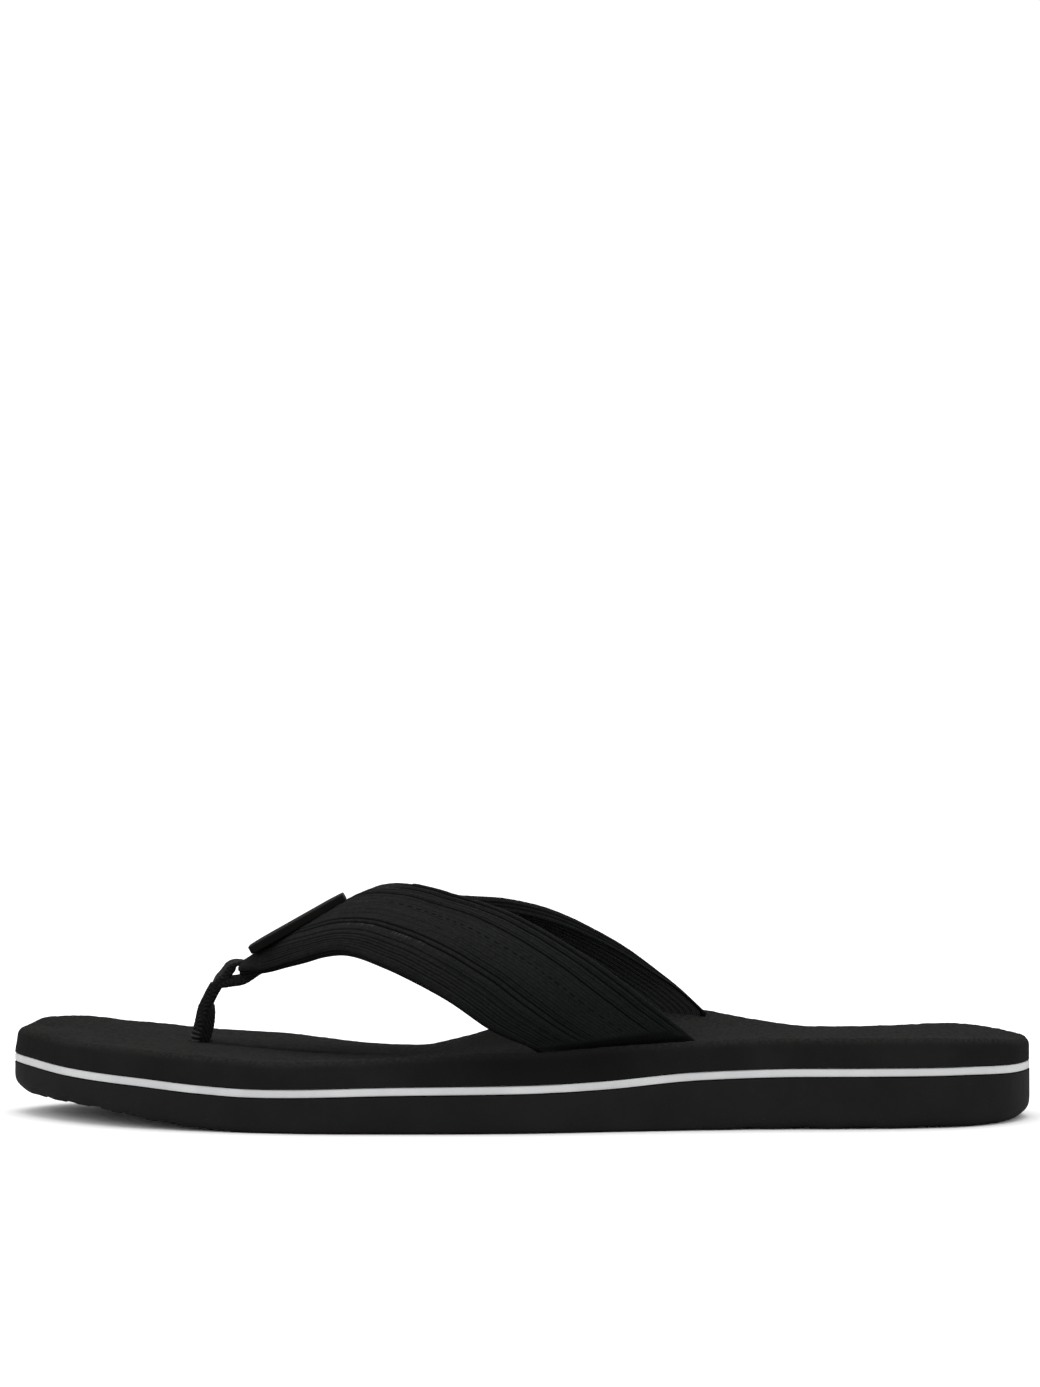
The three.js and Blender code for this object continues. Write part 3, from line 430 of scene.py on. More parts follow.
class Half:
    """One half of the strap: a ribbon between its rear and front rails. u runs from the nose (0)
    to the slot (1) and on down the glued tail; offsets are from the rear rail and depths are
    under the face."""

    def __init__(self, side):
        self.side = side
        self.name = "lateral" if side < 0 else "medial"
        seam = [rail_point(p) + [0, side * SEAM_HALF_GAP, 0] for p in SEAM]
        rear_slot, front_slot = (slot_point(p, side) for p in SLOT[side])
        corner, flank = rail_point(NOSE_CORNER), rail_point(NOSE_FLANK)
        corner[1] = SEAM_Y + side * NOSE_HALF_WIDTH
        flank[1] = SEAM_Y + side * (NOSE_HALF_WIDTH + FLANK_SPREAD)
        self.rear = Rail([*seam, *map(rail_point, REAR_EDGE[side]), rear_slot])
        self.front = Rail([corner, flank, *map(rail_point, FRONT_EDGE[side]), front_slot])

    def tail(self, rail, u):
        """Below the slot: straight down, round a bend, and flat under the footbed."""
        mouth = rail.line[-1]
        fold_top = footbed_under(mouth[0]) + FLAP_BEND
        down = lerp(mouth[2], fold_top, np.clip((u - 1) / (TAIL_FOLD - 1), 0, 1))
        turn = np.clip((u - TAIL_FOLD) / (TAIL_FLAT - TAIL_FOLD), 0, 1) * np.pi / 2
        run = np.clip((u - TAIL_FLAT) / (TAIL_END - TAIL_FLAT), 0, None) * FLAP_LENGTH
        inward = FLAP_BEND * (1 - np.cos(turn)) + run
        y = mouth[1] - self.side * inward
        z = np.where(u <= TAIL_FOLD, down, fold_top - FLAP_BEND * np.sin(turn))
        return np.stack([np.full_like(u, mouth[0]), y, z], -1)

    def rail_at(self, rail, u):
        return np.where((u <= 1)[..., None], rail.at(np.clip(u, 0, 1)), self.tail(rail, u))

    def frame(self, u):
        """The rear rail's points, the ways across, along and out of the face, and the width."""
        u = np.asarray(u, float)
        rear, front = self.rail_at(self.rear, u), self.rail_at(self.front, u)
        low = np.maximum(u - TANGENT_STEP, np.where(u > 1, 1, 0))
        high = np.where(u > 1, u + TANGENT_STEP, np.minimum(u + TANGENT_STEP, 1))
        ahead = self.rail_at(self.rear, high) + self.rail_at(self.front, high)
        behind = self.rail_at(self.rear, low) + self.rail_at(self.front, low)
        along = unit(ahead - behind)
        across = front - rear
        normal = unit(np.cross(across, along) * -self.side)
        return rear, across, along, normal, np.linalg.norm(across, axis=-1)

    def width(self, u):
        return self.frame(u)[4]

    def seam_distance(self, u):
        """How far the rear edge stands from the seam that joins the two halves."""
        rear = self.rear.at(np.clip(u, 0, 1))
        plane = rail_point(SEAM[-1])[1]
        behind = ease(rear[..., 0], rail_point(SEAM[-2])[0], rail_point(SEAM[-1])[0] + NOTCH_RUN)
        apart = behind * np.maximum((rear[..., 1] - plane) * self.side, 0)
        return np.where(np.asarray(u) > 1, SOLE_WIDTH, apart)

    def points(self, u, offset, depth):
        """Points of the ribbon for stations u and a row of offsets and depths at each."""
        rear, across, along, normal, width = (a[:, None] for a in self.frame(u))
        t = offset / width
        u = np.asarray(u)[:, None]
        crown = CROWN(100 * np.minimum(u, 1)) * (1 - ease(u, 1, TAIL_FOLD))
        bow = (2 * crown * t * (1 - t))[..., None]
        place = rear + across * t[..., None] + normal * bow
        slope = across + normal * (2 * crown * (1 - 2 * t))[..., None]
        out = unit(np.cross(slope, along) * -self.side)
        mitre = 1 - ease(np.abs(offset), 0, MITRE_REACH)
        out[..., 1] *= 1 - mitre * (1 - ease(self.seam_distance(u), *SEAM_PARTING))
        return place - unit(out) * depth[..., None]

    def hem_depth(self, u, edge):
        """How deep an edge of the band is folded under."""
        opened = ease(self.seam_distance(u), *HEM_PARTING) if edge == "rear" else 1
        return lerp(HEM_CLOSED, STACK, opened * (1 - ease(u, *HEM_CLOSING)))


halves = {side: Half(side) for side in (LATERAL, MEDIAL)}


def stations(start, end, spacing):
    """Values of u along a half with about this many millimetres between them."""
    count = max(int((end - start) * halves[LATERAL].rear.length / spacing), 2)
    return np.linspace(start, end, count + 1)


def slab(start, end, shallow, deep, across):
    """Offsets and depths round a flat slab of the stack, one row for each station."""
    share = np.linspace(0, 1, across)[None]
    start, end, shallow, deep = (np.reshape(v, (-1, 1)) for v in (start, end, shallow, deep))
    face = lerp(start, end, share)
    offset = np.hstack([face, face[:, ::-1]])
    depth = np.hstack([shallow + 0 * face, deep + 0 * face])
    return offset, depth


# ---- the sole ----------------------------------------------------------------------------
RING_STEPS = 480                 # round the footbed and the stripe
OUTSOLE_STEPS = 620
ROUNDING = np.linspace(0, np.pi / 2, 9)
TOE_LEAN = 0.7                   # how far the footbed's wall leans in at the toe
TOE_LEAN_ZONE = (3, 40)
DISH_ROWS = 76                   # of the footbed's top, from its rim to its middle line
PEBBLED_RIM_ROWS = 4             # rows of the rim's rounding that are pebbled like the top
CREASE_DEPTH = 0.8
CREASE_REACH = 2.6               # half width of the crease
CREASE_START = np.array([POST_X + 1, SEAM_Y - 2.5])
CREASE_END = np.array([118, -8])
CREASE_SWAY = 1.6
STRIPE_BEVEL = 0.25
STRIPE_ROWS = 6
HEEL_EDGE_ZONE = (66, 78)        # percent of LENGTH over which its larger rounding grows
OUTSOLE_WALL_ROWS = 8
TREAD_TEETH = 6
TOOTH_REACH = 4
GROOVE_REACH = 0.6 * SOLE_WIDTH  # past both edges of the sole
GROOVE_SIDES = (-0.45, 0.35)     # where its sides start and end, beyond half its width
EDGE_WAVE = 0.5                  # height of the waves along the outsole's lower edge
TOE_WAVES_END = (38, 62)
HEEL_WAVES_START = (178, 205)
# What has to pass through the footbed: a strap from the first u to the second, this deep.
SLOT_ROOM = (0.9, 1.215, STACK)
TAIL_ROOM = (1.18, TAIL_END + 0.008, TEXTILE - 0.3)
POST_ROOM = (2.5, 30)            # heights that the post's slit is cut between


def toe_crease(points):
    """How strong the soft crease is that runs back from the toe post along the deck."""
    along = CREASE_END - CREASE_START
    share = np.clip(((points[:, :2] - CREASE_START) @ along) / (along @ along), 0, 1)
    line = CREASE_START + share[:, None] * along
    line[:, 1] += CREASE_SWAY * np.sin(share * 5)
    away = np.linalg.norm(points[:, :2] - line, axis=1)
    return np.exp(-(away / CREASE_REACH) ** 2) * (1 - ease(share, 0.35, 1))


def make_footbed():
    """A dished, pebbled top with a rounded rim on a wall that leans in at the toe."""
    ring = SoleRing(RING_STEPS)
    lean = TOE_LEAN * (1 - ease(ring.edge[:, 0], *TOE_LEAN_ZONE))

    def under(x, *_):
        return footbed_under(x)

    def wall(share):
        return lambda x, station, side, _: lerp(
            footbed_under(station), rim_height(station, side) - RIM_RADIUS, share)

    loops = [ring.loop(0, share, under) for share in (1, 0.6, 0.25, 0.06)]
    under_rows = len(loops)
    loops += [ring.loop(lean * step, 0, wall(step)) for step in np.linspace(0, 1, 8)[:-1]]
    for angle in ROUNDING:
        inset = lean + RIM_RADIUS * (1 - math.cos(angle))
        drop = RIM_RADIUS * (1 - math.sin(angle))
        loops.append(ring.loop(
            inset, 0, lambda x, station, side, _: rim_height(station, side) - drop))
    pebbled_from = len(loops) - PEBBLED_RIM_ROWS
    shares = np.linspace(0, 1, DISH_ROWS)[1:]
    loops += [ring.loop(lean + RIM_RADIUS, share, deck_height) for share in shares]
    loops = np.array(loops)
    count = loops.shape[1]

    top = loops[pebbled_from:].reshape(-1, 3)
    pebble = 0.1 * grain(top, 1.7, 1) + 0.07 * grain(top, 0.9, 2) + 0.1 * grain(top, 9, 3)
    crease = toe_crease(top)
    top[:, 2] += pebble - CREASE_DEPTH * crease
    loops[pebbled_from:] = top.reshape(-1, count, 3)
    # the crease's strength, also kept to paint shade along it on the deck
    crease_shade = np.zeros(loops.shape[:2])
    crease_shade[pebbled_from:] = crease.reshape(-1, count)

    sides = loops[under_rows:pebbled_from].reshape(-1, 3)
    push = 0.05 * grain(sides, 1.6, 4) + 0.12 * grain(sides, 14, 5)
    sides[:, :2] += np.tile(ring.inward, (pebbled_from - under_rows, 1)) * push[:, None]
    loops[under_rows:pebbled_from] = sides.reshape(-1, count, 3)

    footbed = loft("footbed_foam", loops, marks={"crease": crease_shade})
    for half in halves.values():
        for room in (SLOT_ROOM, TAIL_ROOM):
            boolean(footbed, room_for(half, *room), "DIFFERENCE")
    boolean(footbed, post_hole(), "DIFFERENCE")
    return footbed


def room_for(half, start, end, deep):
    """The space that a strap and its tail need in the footbed."""
    u = np.linspace(start, end, 24)
    rear, front = 0 * u - CLEARANCE, half.width(u) + CLEARANCE
    shallow = -CLEARANCE - (0.3 if deep < STACK else 0)
    offset, depth = slab(rear, front, shallow, deep + CLEARANCE, 12)
    return loft("strap_room", half.points(u, offset, depth), True)


def post_hole():
    """The slit that the doubled tape passes through, turned as the tape is."""
    turn = -math.radians(POST_TURN)
    wide, thin = TAPE_WIDTH / 2 + CLEARANCE, TAPE_PLY + CLEARANCE
    corners = np.array([(-wide, -thin), (wide, -thin), (wide, thin), (-wide, thin)])
    across, through = corners.T
    x = POST_X + across * math.cos(turn) - through * math.sin(turn)
    y = SEAM_Y + across * math.sin(turn) + through * math.cos(turn)
    return loft("post_room", [np.column_stack([x, y, np.full(4, z)]) for z in POST_ROOM], True)


def make_stripe():
    """A thin even layer whose outer edges are just broken."""
    ring = SoleRing(RING_STEPS)

    def low(x, *_):
        return outsole_top(x) + GLUE_GAP / 2

    def high(x, *_):
        return stripe_top(x) - GLUE_GAP / 2

    loops = [ring.loop(STRIPE_BEVEL, share, low) for share in (1, 0.5, 0)]
    for step in np.linspace(0, 1, STRIPE_ROWS + 1):
        inset = STRIPE_BEVEL * max(0, 1 - min(step, 1 - step) * STRIPE_ROWS)
        loops.append(ring.loop(
            inset, 0, lambda x, station, *_: lerp(low(station), high(station), step)))
    loops += [ring.loop(STRIPE_BEVEL, share, high) for share in (0, 0.5, 1)]
    stripe = loft("stripe_foam", loops)
    boolean(stripe, post_hole(), "DIFFERENCE")
    return stripe


def tread(points, inside_edge):
    """Lifts the points of the sole's underside that lie in its zigzag grooves, which stop
    short of its edge, and waves the edge itself at the toe and the heel."""
    x, y, z = points.T
    field = ease(inside_edge, TREAD_INSET - 0.5, TREAD_INSET + 0.5)
    side_start, side_end = (TREAD_WIDTH / 2 + extra for extra in GROOVE_SIDES)
    tooth = (y + GROOVE_REACH) / (2 * GROOVE_REACH) * TREAD_TEETH
    saw = np.abs((tooth + 1) % 2 - 1)
    centre = TOE_PITCH
    while centre < LENGTH - HEEL_PITCH / 2:
        away = np.abs(x - (centre + saw * TOOTH_REACH))
        inside = 1 - ease(away, side_start, side_end)
        roof = ground(centre) + TREAD_DEPTH
        z = z + inside * field * np.maximum(roof - z, 0)
        centre += lerp(TOE_PITCH, HEEL_PITCH, centre / LENGTH)
    pitch = lerp(TOE_PITCH, HEEL_PITCH, x / LENGTH)
    wave = 0.5 + 0.5 * np.sin(x * 2 * np.pi / pitch + 1.3 * np.sin(x / 17))
    ends = np.maximum(1 - ease(x, *TOE_WAVES_END), ease(x, *HEEL_WAVES_START))
    z = z + EDGE_WAVE * wave * ends * (1 - ease(inside_edge, 1.5, TREAD_INSET + 1))
    return np.column_stack([x, y, z])


def make_outsole():
    """The treaded layer, with a rounded lower edge and a pocket for the post's anchor."""
    ring = SoleRing(OUTSOLE_STEPS)
    towards_heel = ease(percent_of(ring.edge[:, 0]), *HEEL_EDGE_ZONE)
    side_radius = lerp(GROUND_RADIUS, HEEL_EDGE_RADIUS, towards_heel)
    radius = lerp(side_radius, TIP_RADIUS, ring.inward[:, 0] ** 2)

    def under(x, *_):
        return ground(x)

    def top(x, *_):
        return outsole_top(x) - GLUE_GAP / 2

    loops = [ring.loop(radius, share, under) for share in np.linspace(1, 0, 56)[:-1]]
    for angle in ROUNDING[::-1]:
        loops.append(ring.loop(
            radius * (1 - math.cos(angle)), 0,
            lambda x, station, *_: ground(station) + radius * (1 - math.sin(angle))))
    rounded = len(loops)
    for step in np.linspace(0, 1, OUTSOLE_WALL_ROWS + 1)[1:]:
        loops.append(ring.loop(
            0, 0, lambda x, station, *_: lerp(ground(station) + radius, top(station), step)))
    loops += [ring.loop(0, share, top) for share in (0.3, 0.7, 1)]
    loops = np.array(loops)
    count = loops.shape[1]

    lower = loops[:rounded + 2]
    inside_edge = np.linalg.norm(lower[:, :, :2] - ring.edge[None], axis=2)
    lifted = tread(lower.reshape(-1, 3), inside_edge.ravel())
    lifted[:, 2] += 0.05 * grain(lifted, 3, 6)
    loops[:rounded + 2] = lifted.reshape(-1, count, 3)

    walls = loops[rounded:rounded + OUTSOLE_WALL_ROWS].reshape(-1, 3)
    push = 0.04 * grain(walls, 1.8, 7) + 0.1 * grain(walls, 16, 8)
    walls[:, :2] += np.tile(ring.inward, (OUTSOLE_WALL_ROWS, 1)) * push[:, None]
    loops[rounded:rounded + OUTSOLE_WALL_ROWS] = walls.reshape(-1, count, 3)

    outsole = loft("outsole_rubber", loops)
    boolean(outsole, anchor_room(), "DIFFERENCE")
    return outsole


def anchor_room():
    """The round pocket in the outsole that holds the anchor disc, open upwards."""
    anchor_low, anchor_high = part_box("toe_post_anchor")
    middle = (anchor_low + anchor_high) / 2 * 1000
    turn = np.linspace(0, 2 * np.pi, 49)[:-1]
    disc = (ANCHOR_RADIUS + CLEARANCE) * np.column_stack([np.cos(turn), np.sin(turn)])
    disc += np.array([middle.x, middle.y]) - SHIFT[:2]
    bottom = anchor_low.z * 1000 - SHIFT[2] - CLEARANCE
    rows = [np.column_stack([disc, np.full(len(disc), z)]) for z in (bottom, DECK)]
    return loft("anchor_room", rows, True)


# ---- the strap ---------------------------------------------------------------------------
# Grooves of the ribbed textile: share of the width from the front edge, depth, half width,
# and how it runs: "full", "stitch" for a broken row, "rear" for one that fades by the nose.
GROOVES = [
    (0.03, 0.24, 0.2, "full"), (0.058, 0.3, 0.24, "full"), (0.085, 0.2, 0.18, "full"),
    (0.112, 0.28, 0.2, "full"), (0.14, 0.2, 0.18, "full"), (0.172, 0.3, 0.22, "full"),
    (0.205, 0.18, 0.2, "rear"), (0.222, 0.3, 0.22, "full"), (0.25, 0.16, 0.2, "rear"),
    (0.31, 0.5, 0.28, "full"), (0.36, 0.46, 0.26, "full"), (0.385, 0.2, 0.2, "rear"),
    (0.41, 0.32, 0.22, "rear"), (0.436, 0.12, 0.2, "full"), (0.462, 0.18, 0.2, "rear"),
    (0.49, 0.1, 0.2, "full"), (0.523, 0.13, 0.2, "rear"), (0.556, 0.09, 0.2, "full"),
    (0.588, 0.12, 0.2, "full"), (0.618, 0.3, 0.26, "stitch"), (0.652, 0.12, 0.2, "full"),
    (0.68, 0.09, 0.2, "rear"), (0.71, 0.13, 0.2, "full"), (0.738, 0.1, 0.2, "full"),
    (0.765, 0.5, 0.3, "full"), (0.792, 0.22, 0.2, "full"), (0.818, 0.1, 0.2, "full"),
    (0.84, 0.18, 0.2, "full"), (0.88, 0.5, 0.3, "full"), (0.905, 0.22, 0.2, "full"),
    (0.944, 0.42, 0.26, "full"),
]
SEAM_GROOVES_FROM = 0.86         # those past this share start where the halves part
# Ragged raised rows of loops: share, height, half width, and where along the strap each fades
# in and out.
LOOP_ROWS = [
    (0.284, 0.3, 0.5, (0.26, 0.36), (0.48, 0.62)),
    (0.6, 0.22, 0.4, (0.215, 0.25), (0.285, 0.33)),
]
CUT_END = 0.32                   # u where the seam ends, and the cloth's cut rear edge with it
FACE_POINTS = 300                # across the face of the band
STRAP_STEP = 0.55                # between its sections
HEM_ROLL = 2.2                   # width of the rolled ridge along each hem
HEM_ROLL_HEIGHT = 0.42
HEM_CORNER = 1.25                # radius of the turn from the face to a hem's side
EDGE_BREAK = 0.3                 # of the hem's inner corners
HEM_LINE = 0.45                  # depth of the two lines along a hem's side
HEM_LINES = (1.4, 2.45)          # how far under the face they run
HEM_LINE_REACH = 0.26
SLOT_SHADE = (0.972, 0.986)      # the strap pinches in just above its slot, and painted shade darkens it there
SLOT_SHADE_LEAN = 0.011          # and does so higher up towards its rear edge
SLOT_PINCH = 0.6
BELLY = 1.3                      # how far it bellies out over the slot
BELLY_RISE = (0.7, 2.6)          # heights along the strap over which that comes
BELLY_FALL = (2.6, 17)           # and goes
FAR_SHADE = 0.4                  # strength of the painted shade in the lines and slot of the medial half


def strap_relief(half, u, offset, width):
    """How far the grooves sink and how far the loops stand up at each point of the face."""
    cut = np.maximum(width, half.width(np.array([CUT_END]))[0])
    share = (width - offset) / cut
    travel = u * half.rear.length
    fade = ease(u, 0.02, 0.1) * (1 - ease(u, 0.95, 0.985))
    wobble = 0.06 * np.sin(travel / 7.3 + 3 * share) + 0.05 * np.sin(travel / 2.9 + 11 * share)
    stitches = ease(np.sin(travel * 2 * np.pi / 3.1 + 2.2 * np.sin(travel / 6.1)), -0.7, 0.3)
    kinds = {
        "full": 1,
        "rear": ease(u, 0.5, 0.68),
        "stitch": stitches * ease(u, 0.3, 0.42),
    }
    sunk = np.zeros_like(share)
    for place, depth, reach, kind in GROOVES:
        away = (share - place) * cut + wobble
        line = depth * np.exp(-(away / reach) ** 2) * kinds[kind]
        if place > SEAM_GROOVES_FROM:
            line = line * ease(half.seam_distance(u), 1, 5)
        sunk = np.maximum(sunk, line)
    beads = 0.5 + 0.5 * np.sin(travel * 2 * np.pi / 1.7 + 1.5 * np.sin(travel / 2.3))
    ragged = np.sin(travel / 3.7) + np.sin(travel / 1.9 + 2) + np.sin(travel / 0.83 + 5)
    loops = np.zeros_like(share)
    for place, height, reach, starts, ends in LOOP_ROWS:
        away = (share - place) * cut + wobble
        row = height * np.exp(-(away / reach) ** 2) * ease(u, *starts) * (1 - ease(u, *ends))
        loops += row * beads * ease(ragged, -0.9, 0.9)
    return sunk * fade, loops


def outer_section(half, u):
    """The ribbed band's C-shaped section at each station: a face whose edges roll under."""
    width = half.width(u)[:, None]
    hems = {edge: np.reshape(half.hem_depth(u, edge), (-1, 1)) for edge in ("rear", "front")}
    corner = {edge: np.minimum(HEM_CORNER, 0.42 * hem) for edge, hem in hems.items()}
    arc = np.linspace(0, np.pi / 2, 7)[None]

    def edge_path(edge, mirrored):
        hem, r = hems[edge], corner[edge]
        leg = lerp(r, hem - EDGE_BREAK, np.linspace(0, 1, 15)[None])
        deep = ease(hem, TEXTILE + 0.5, STACK)
        lines = deep * HEM_LINE * hem_line_mark(leg, HEM_LINE_REACH)
        x = np.hstack([
            r * (1 - np.sin(arc[:, :-1])), lines, 0 * hem + EDGE_BREAK,
            0 * hem + TEXTILE - EDGE_BREAK, 0 * hem + TEXTILE])
        z = np.hstack([r * (1 - np.cos(arc[:, :-1])), leg, hem, hem, hem - EDGE_BREAK])
        return (width - x if mirrored else x), z

    face_share = np.linspace(0, 1, FACE_POINTS)[None]
    face_x = lerp(corner["rear"], width - corner["front"], face_share)
    front_x, front_z = edge_path("front", True)
    rear_x, rear_z = edge_path("rear", False)
    inner_x = lerp(width - TEXTILE, TEXTILE + 0 * width, np.linspace(0, 1, 24)[None])
    offset = np.hstack([face_x, front_x[:, 1:], inner_x, rear_x[:, :0:-1]])
    depth = np.hstack([0 * face_x, front_z[:, 1:], TEXTILE + 0 * inner_x, rear_z[:, :0:-1]])
    return offset, depth, width


def hem_line_mark(depth, reach):
    """1 in the middle of each of the two lines along a hem's side, and 0 away from them."""
    return sum(np.exp(-((depth - at) / reach) ** 2) for at in HEM_LINES)


def cloth_mark(half, u, offset, depth):
    """Where a point lies on the flat cloth: across it, along it and through it."""
    return np.stack([offset, u[:, None] * half.rear.length + 0 * offset, depth], -1)


def make_outer(half):
    """The ribbed band that is seen: its face, its rolled hems and its glued tail."""
    stops = np.concatenate([stations(0, 1, STRAP_STEP), stations(1, TAIL_END, 1.2)[1:]])
    offset, depth, width = outer_section(half, stops)
    u = stops[:, None]
    sunk, loops = strap_relief(half, u, offset, width)
    on_face = 1 - ease(depth, 0.35, 1.1)
    in_air = 1 - ease(u, 0.93, 0.99)
    from_edge = np.minimum(width - offset, np.where(half.seam_distance(u) > 4, offset, 99))
    hem_share = np.clip(from_edge / HEM_ROLL, 0, 1)
    roll = HEM_ROLL_HEIGHT * np.sin(hem_share * np.pi) * ease(u, 0.1, 0.3)
    place = half.points(stops, offset, depth)
    soft = 0.12 * grain(place, 9, 20) + 0.06 * grain(place, 2.3, 21) + 0.05 * grain(place, 0.8, 22)
    crumple = 0.26 * grain(place, 5.5, 23) * ease(u, 0.78, 0.95)
    across = offset / width
    above_slot = (1 - u) * half.rear.length
    belly = BELLY * ease(above_slot, *BELLY_RISE) * (1 - ease(above_slot, *BELLY_FALL))
    belly = belly * ease(across, 0, 0.12) * (1 - ease(across, 0.55, 0.97))
    pinch = ease(u + SLOT_SHADE_LEAN * (1 - across), *SLOT_SHADE)
    pinch = pinch * np.sin(np.clip(across, 0, 1) * np.pi) ** 0.5
    lift = (roll + loops + soft + crumple) * in_air - sunk + belly
    lift = lift - SLOT_PINCH * pinch * (u <= 1.02)
    depth = depth - lift * on_face * (depth < 1.2)
    shading = 1 if half.side == LATERAL else FAR_SHADE
    on_side = 1 - ease(np.abs(from_edge), 0.4, 0.7)
    hem_line_shade = np.clip(hem_line_mark(depth, 0.3), 0, 1) * on_side * in_air * shading
    # painted shade: the band is darkened in its grooves, along its hem lines and just above its slot
    groove_shade = np.clip(sunk * on_face / 0.4, 0, 1)
    marks = {
        "cloth": cloth_mark(half, stops, offset, depth),
        "painted_shade": np.maximum(np.maximum(groove_shade, hem_line_shade), pinch * on_face * shading),
        # painted highlight on the raised loops
        "loop_highlight": np.clip(loops * on_face / 0.3, 0, 1) * in_air,
    }
    return loft(f"{half.name}_strap_band", half.points(stops, offset, depth), True, marks)


HEM_INSET = TEXTILE + CLEARANCE
LINING_DEPTH = STACK - TEXTILE
LINING_JOINT = 0.6               # u where the vamp lining meets the ribbed one
LINING_END = TAIL_FOLD - 0.04
LINING_PARTING = (0.5, 2.5)      # distance from the seam over which its two halves part
LINING_OVERLAP = 1               # of the vamp lining's two halves across the seam
LINING_RIB = 0.34
RIB_PITCH = 1.9
FOAM_START = 6                   # between the embedded tape's end and the foam
FOAM_SEAM_INSET = 2.2


def strap_slab(name, half, u, start, end, shallow, deep, across, relief=None):
    """A flat layer of the strap with softly rounded edges, ribbed underneath if relief is set."""
    width = half.width(u)
    start, end = start + 0 * width, width - end
    offset, depth = slab(start, end, shallow, deep, across)
    share = np.linspace(0, 1, across)
    row = np.concatenate([share, share[::-1]])[None]
    under = np.arange(2 * across)[None] >= across
    edge = np.minimum(row, 1 - row) * (end - start)[:, None]
    round_in = 0.3 * (1 - ease(edge, 0, 0.6))
    depth = depth + np.where(under, -1, 1) * round_in
    if relief:
        ribs = relief * (0.5 + 0.5 * np.cos(offset * 2 * np.pi / RIB_PITCH)) * ease(edge, 0, 0.8)
        depth = depth - ribs * under
    place = half.points(u, offset, depth)
    depth = depth + 0.05 * grain(place, 3, 30) * under
    marks = {"cloth": cloth_mark(half, u, offset, depth)}
    return loft(name, half.points(u, offset, depth), True, marks)


def make_backing(half):
    """The ribbed lining on the inside of a half, from the vamp lining down into the slot."""
    u = stations(LINING_JOINT + GLUE_GAP / half.rear.length, LINING_END, 0.8)
    return strap_slab(f"{half.name}_strap_lining", half, u, HEM_INSET, HEM_INSET, LINING_DEPTH,
                      STACK, 130, LINING_RIB)


def make_padding(half):
    u = stations((TAPE_EMBED + FOAM_START) / half.rear.length, 1, 2)
    return strap_slab(f"{half.name}_strap_padding", half, u, FOAM_SEAM_INSET, HEM_INSET, HEM_INSET,
                      HEM_INSET + FOAM, 24)


def make_vamp_lining():
    """The smooth lining under the nose: a part under each half, joined across the seam."""
    layers = []
    for half in halves.values():
        u = stations(0, LINING_JOINT, 1)
        start = lerp(-LINING_OVERLAP, HEM_INSET, ease(half.seam_distance(u), *LINING_PARTING))
        layers.append(strap_slab(
            f"{half.name}_vamp", half, u, start, HEM_INSET, LINING_DEPTH, STACK, 40))
    lining, other = layers
    boolean(lining, other, "UNION")
    lining.name = "vamp_smooth_lining"
    return lining


def cut_size(half, start, end, extra):
    """The width and length, in metres, and the area of the flat strip that a layer of a half is
    cut from; extra is what its edges add to the half's width."""
    u = np.linspace(start, min(end, 1), 80)
    width = (half.width(u) + extra) / 1000
    tail = 0
    if end > 1:
        mouth = half.rear.line[-1]
        drop = mouth[2] - footbed_under(mouth[0]) - FLAP_BEND
        tail = drop * min((end - 1) / (TAIL_FOLD - 1), 1)
        tail += (FLAP_BEND * np.pi / 2 + FLAP_LENGTH) if end > TAIL_FOLD else 0
    middle = half.points(u, half.width(u)[:, None] * 0.5, 0 * u[:, None])[:, 0]
    run = np.linalg.norm(np.diff(middle, axis=0), axis=1)
    length = (run.sum() + tail) / 1000
    area = np.sum((width[1:] + width[:-1]) / 2 * run / 1000) + width[-1] * tail / 1000
    return (float(width.max()), float(length)), float(area)


# ---- toe post ----------------------------------------------------------------------------
ANCHOR_MIDDLE = float(outsole_top(POST_X)) - GLUE_GAP / 2 - CLEARANCE - ANCHOR_THICKNESS / 2
# The doubled tape's middle line: how far behind POST_X, how high, and how far it is turned.
STEM = [
    (0, ANCHOR_MIDDLE - ANCHOR_THICKNESS / 2, POST_TURN),
    (0, ANCHOR_MIDDLE + ANCHOR_THICKNESS / 2, POST_TURN),
    (0, DECK + 1.4, POST_TURN),
    (0.9, DECK + 5.5, POST_TURN - 4),
    (1.4, DECK + 8.8, POST_TURN - 13),
    (1.6, DECK + 10.8, POST_TURN - 26),
    (2.1, DECK + 12.5, -90),
    (3.2, DECK + 14.7, -90),
    (4.2, DECK + 16.4, -90),
]
NOSE_X = SEAM[0][0] * LENGTH / 100 - POST_X
NOSE_Z = float(rail_point(SEAM[0])[2])
# The two plies above: which face of the stem each leaves, its turn and bulk in the free
# stretch and where the strap grips it, then how it lies along the seam inside the strap.
UPPER_LEG = {
    "ply": 1,
    "turn": 14,
    "plump": 1.35,
    "grip": 0.5,
    "free": [(NOSE_X - 5.2, NOSE_Z - 3.6), (NOSE_X - 3.4, NOSE_Z - 1.5), (NOSE_X - 1.4, NOSE_Z - 1.1)],
    "depth": TEXTILE + CLEARANCE,
    "start": 0.6,
    "end": TAPE_EMBED,
}
LOWER_LEG = {
    "ply": -1,
    "turn": 8,
    "plump": 1.2,
    "grip": 0.72,
    "free": [(NOSE_X - 4.6, NOSE_Z - 6.4), (NOSE_X - 1.8, NOSE_Z - 6), (NOSE_X + 0.6, NOSE_Z - 5.2)],
    "depth": STACK + 2.5 * CLEARANCE,
    "start": 5.5,
    "end": TAPE_EMBED + 3,
}
RIDGES_FADE = (13, 16)           # where the edge ridges fade, along the tape from its anchor
STEM_BULK = (0.5, 1.1)           # what the free stem gains in width and thickness
TAPE_STEP = 0.28                 # between its sections


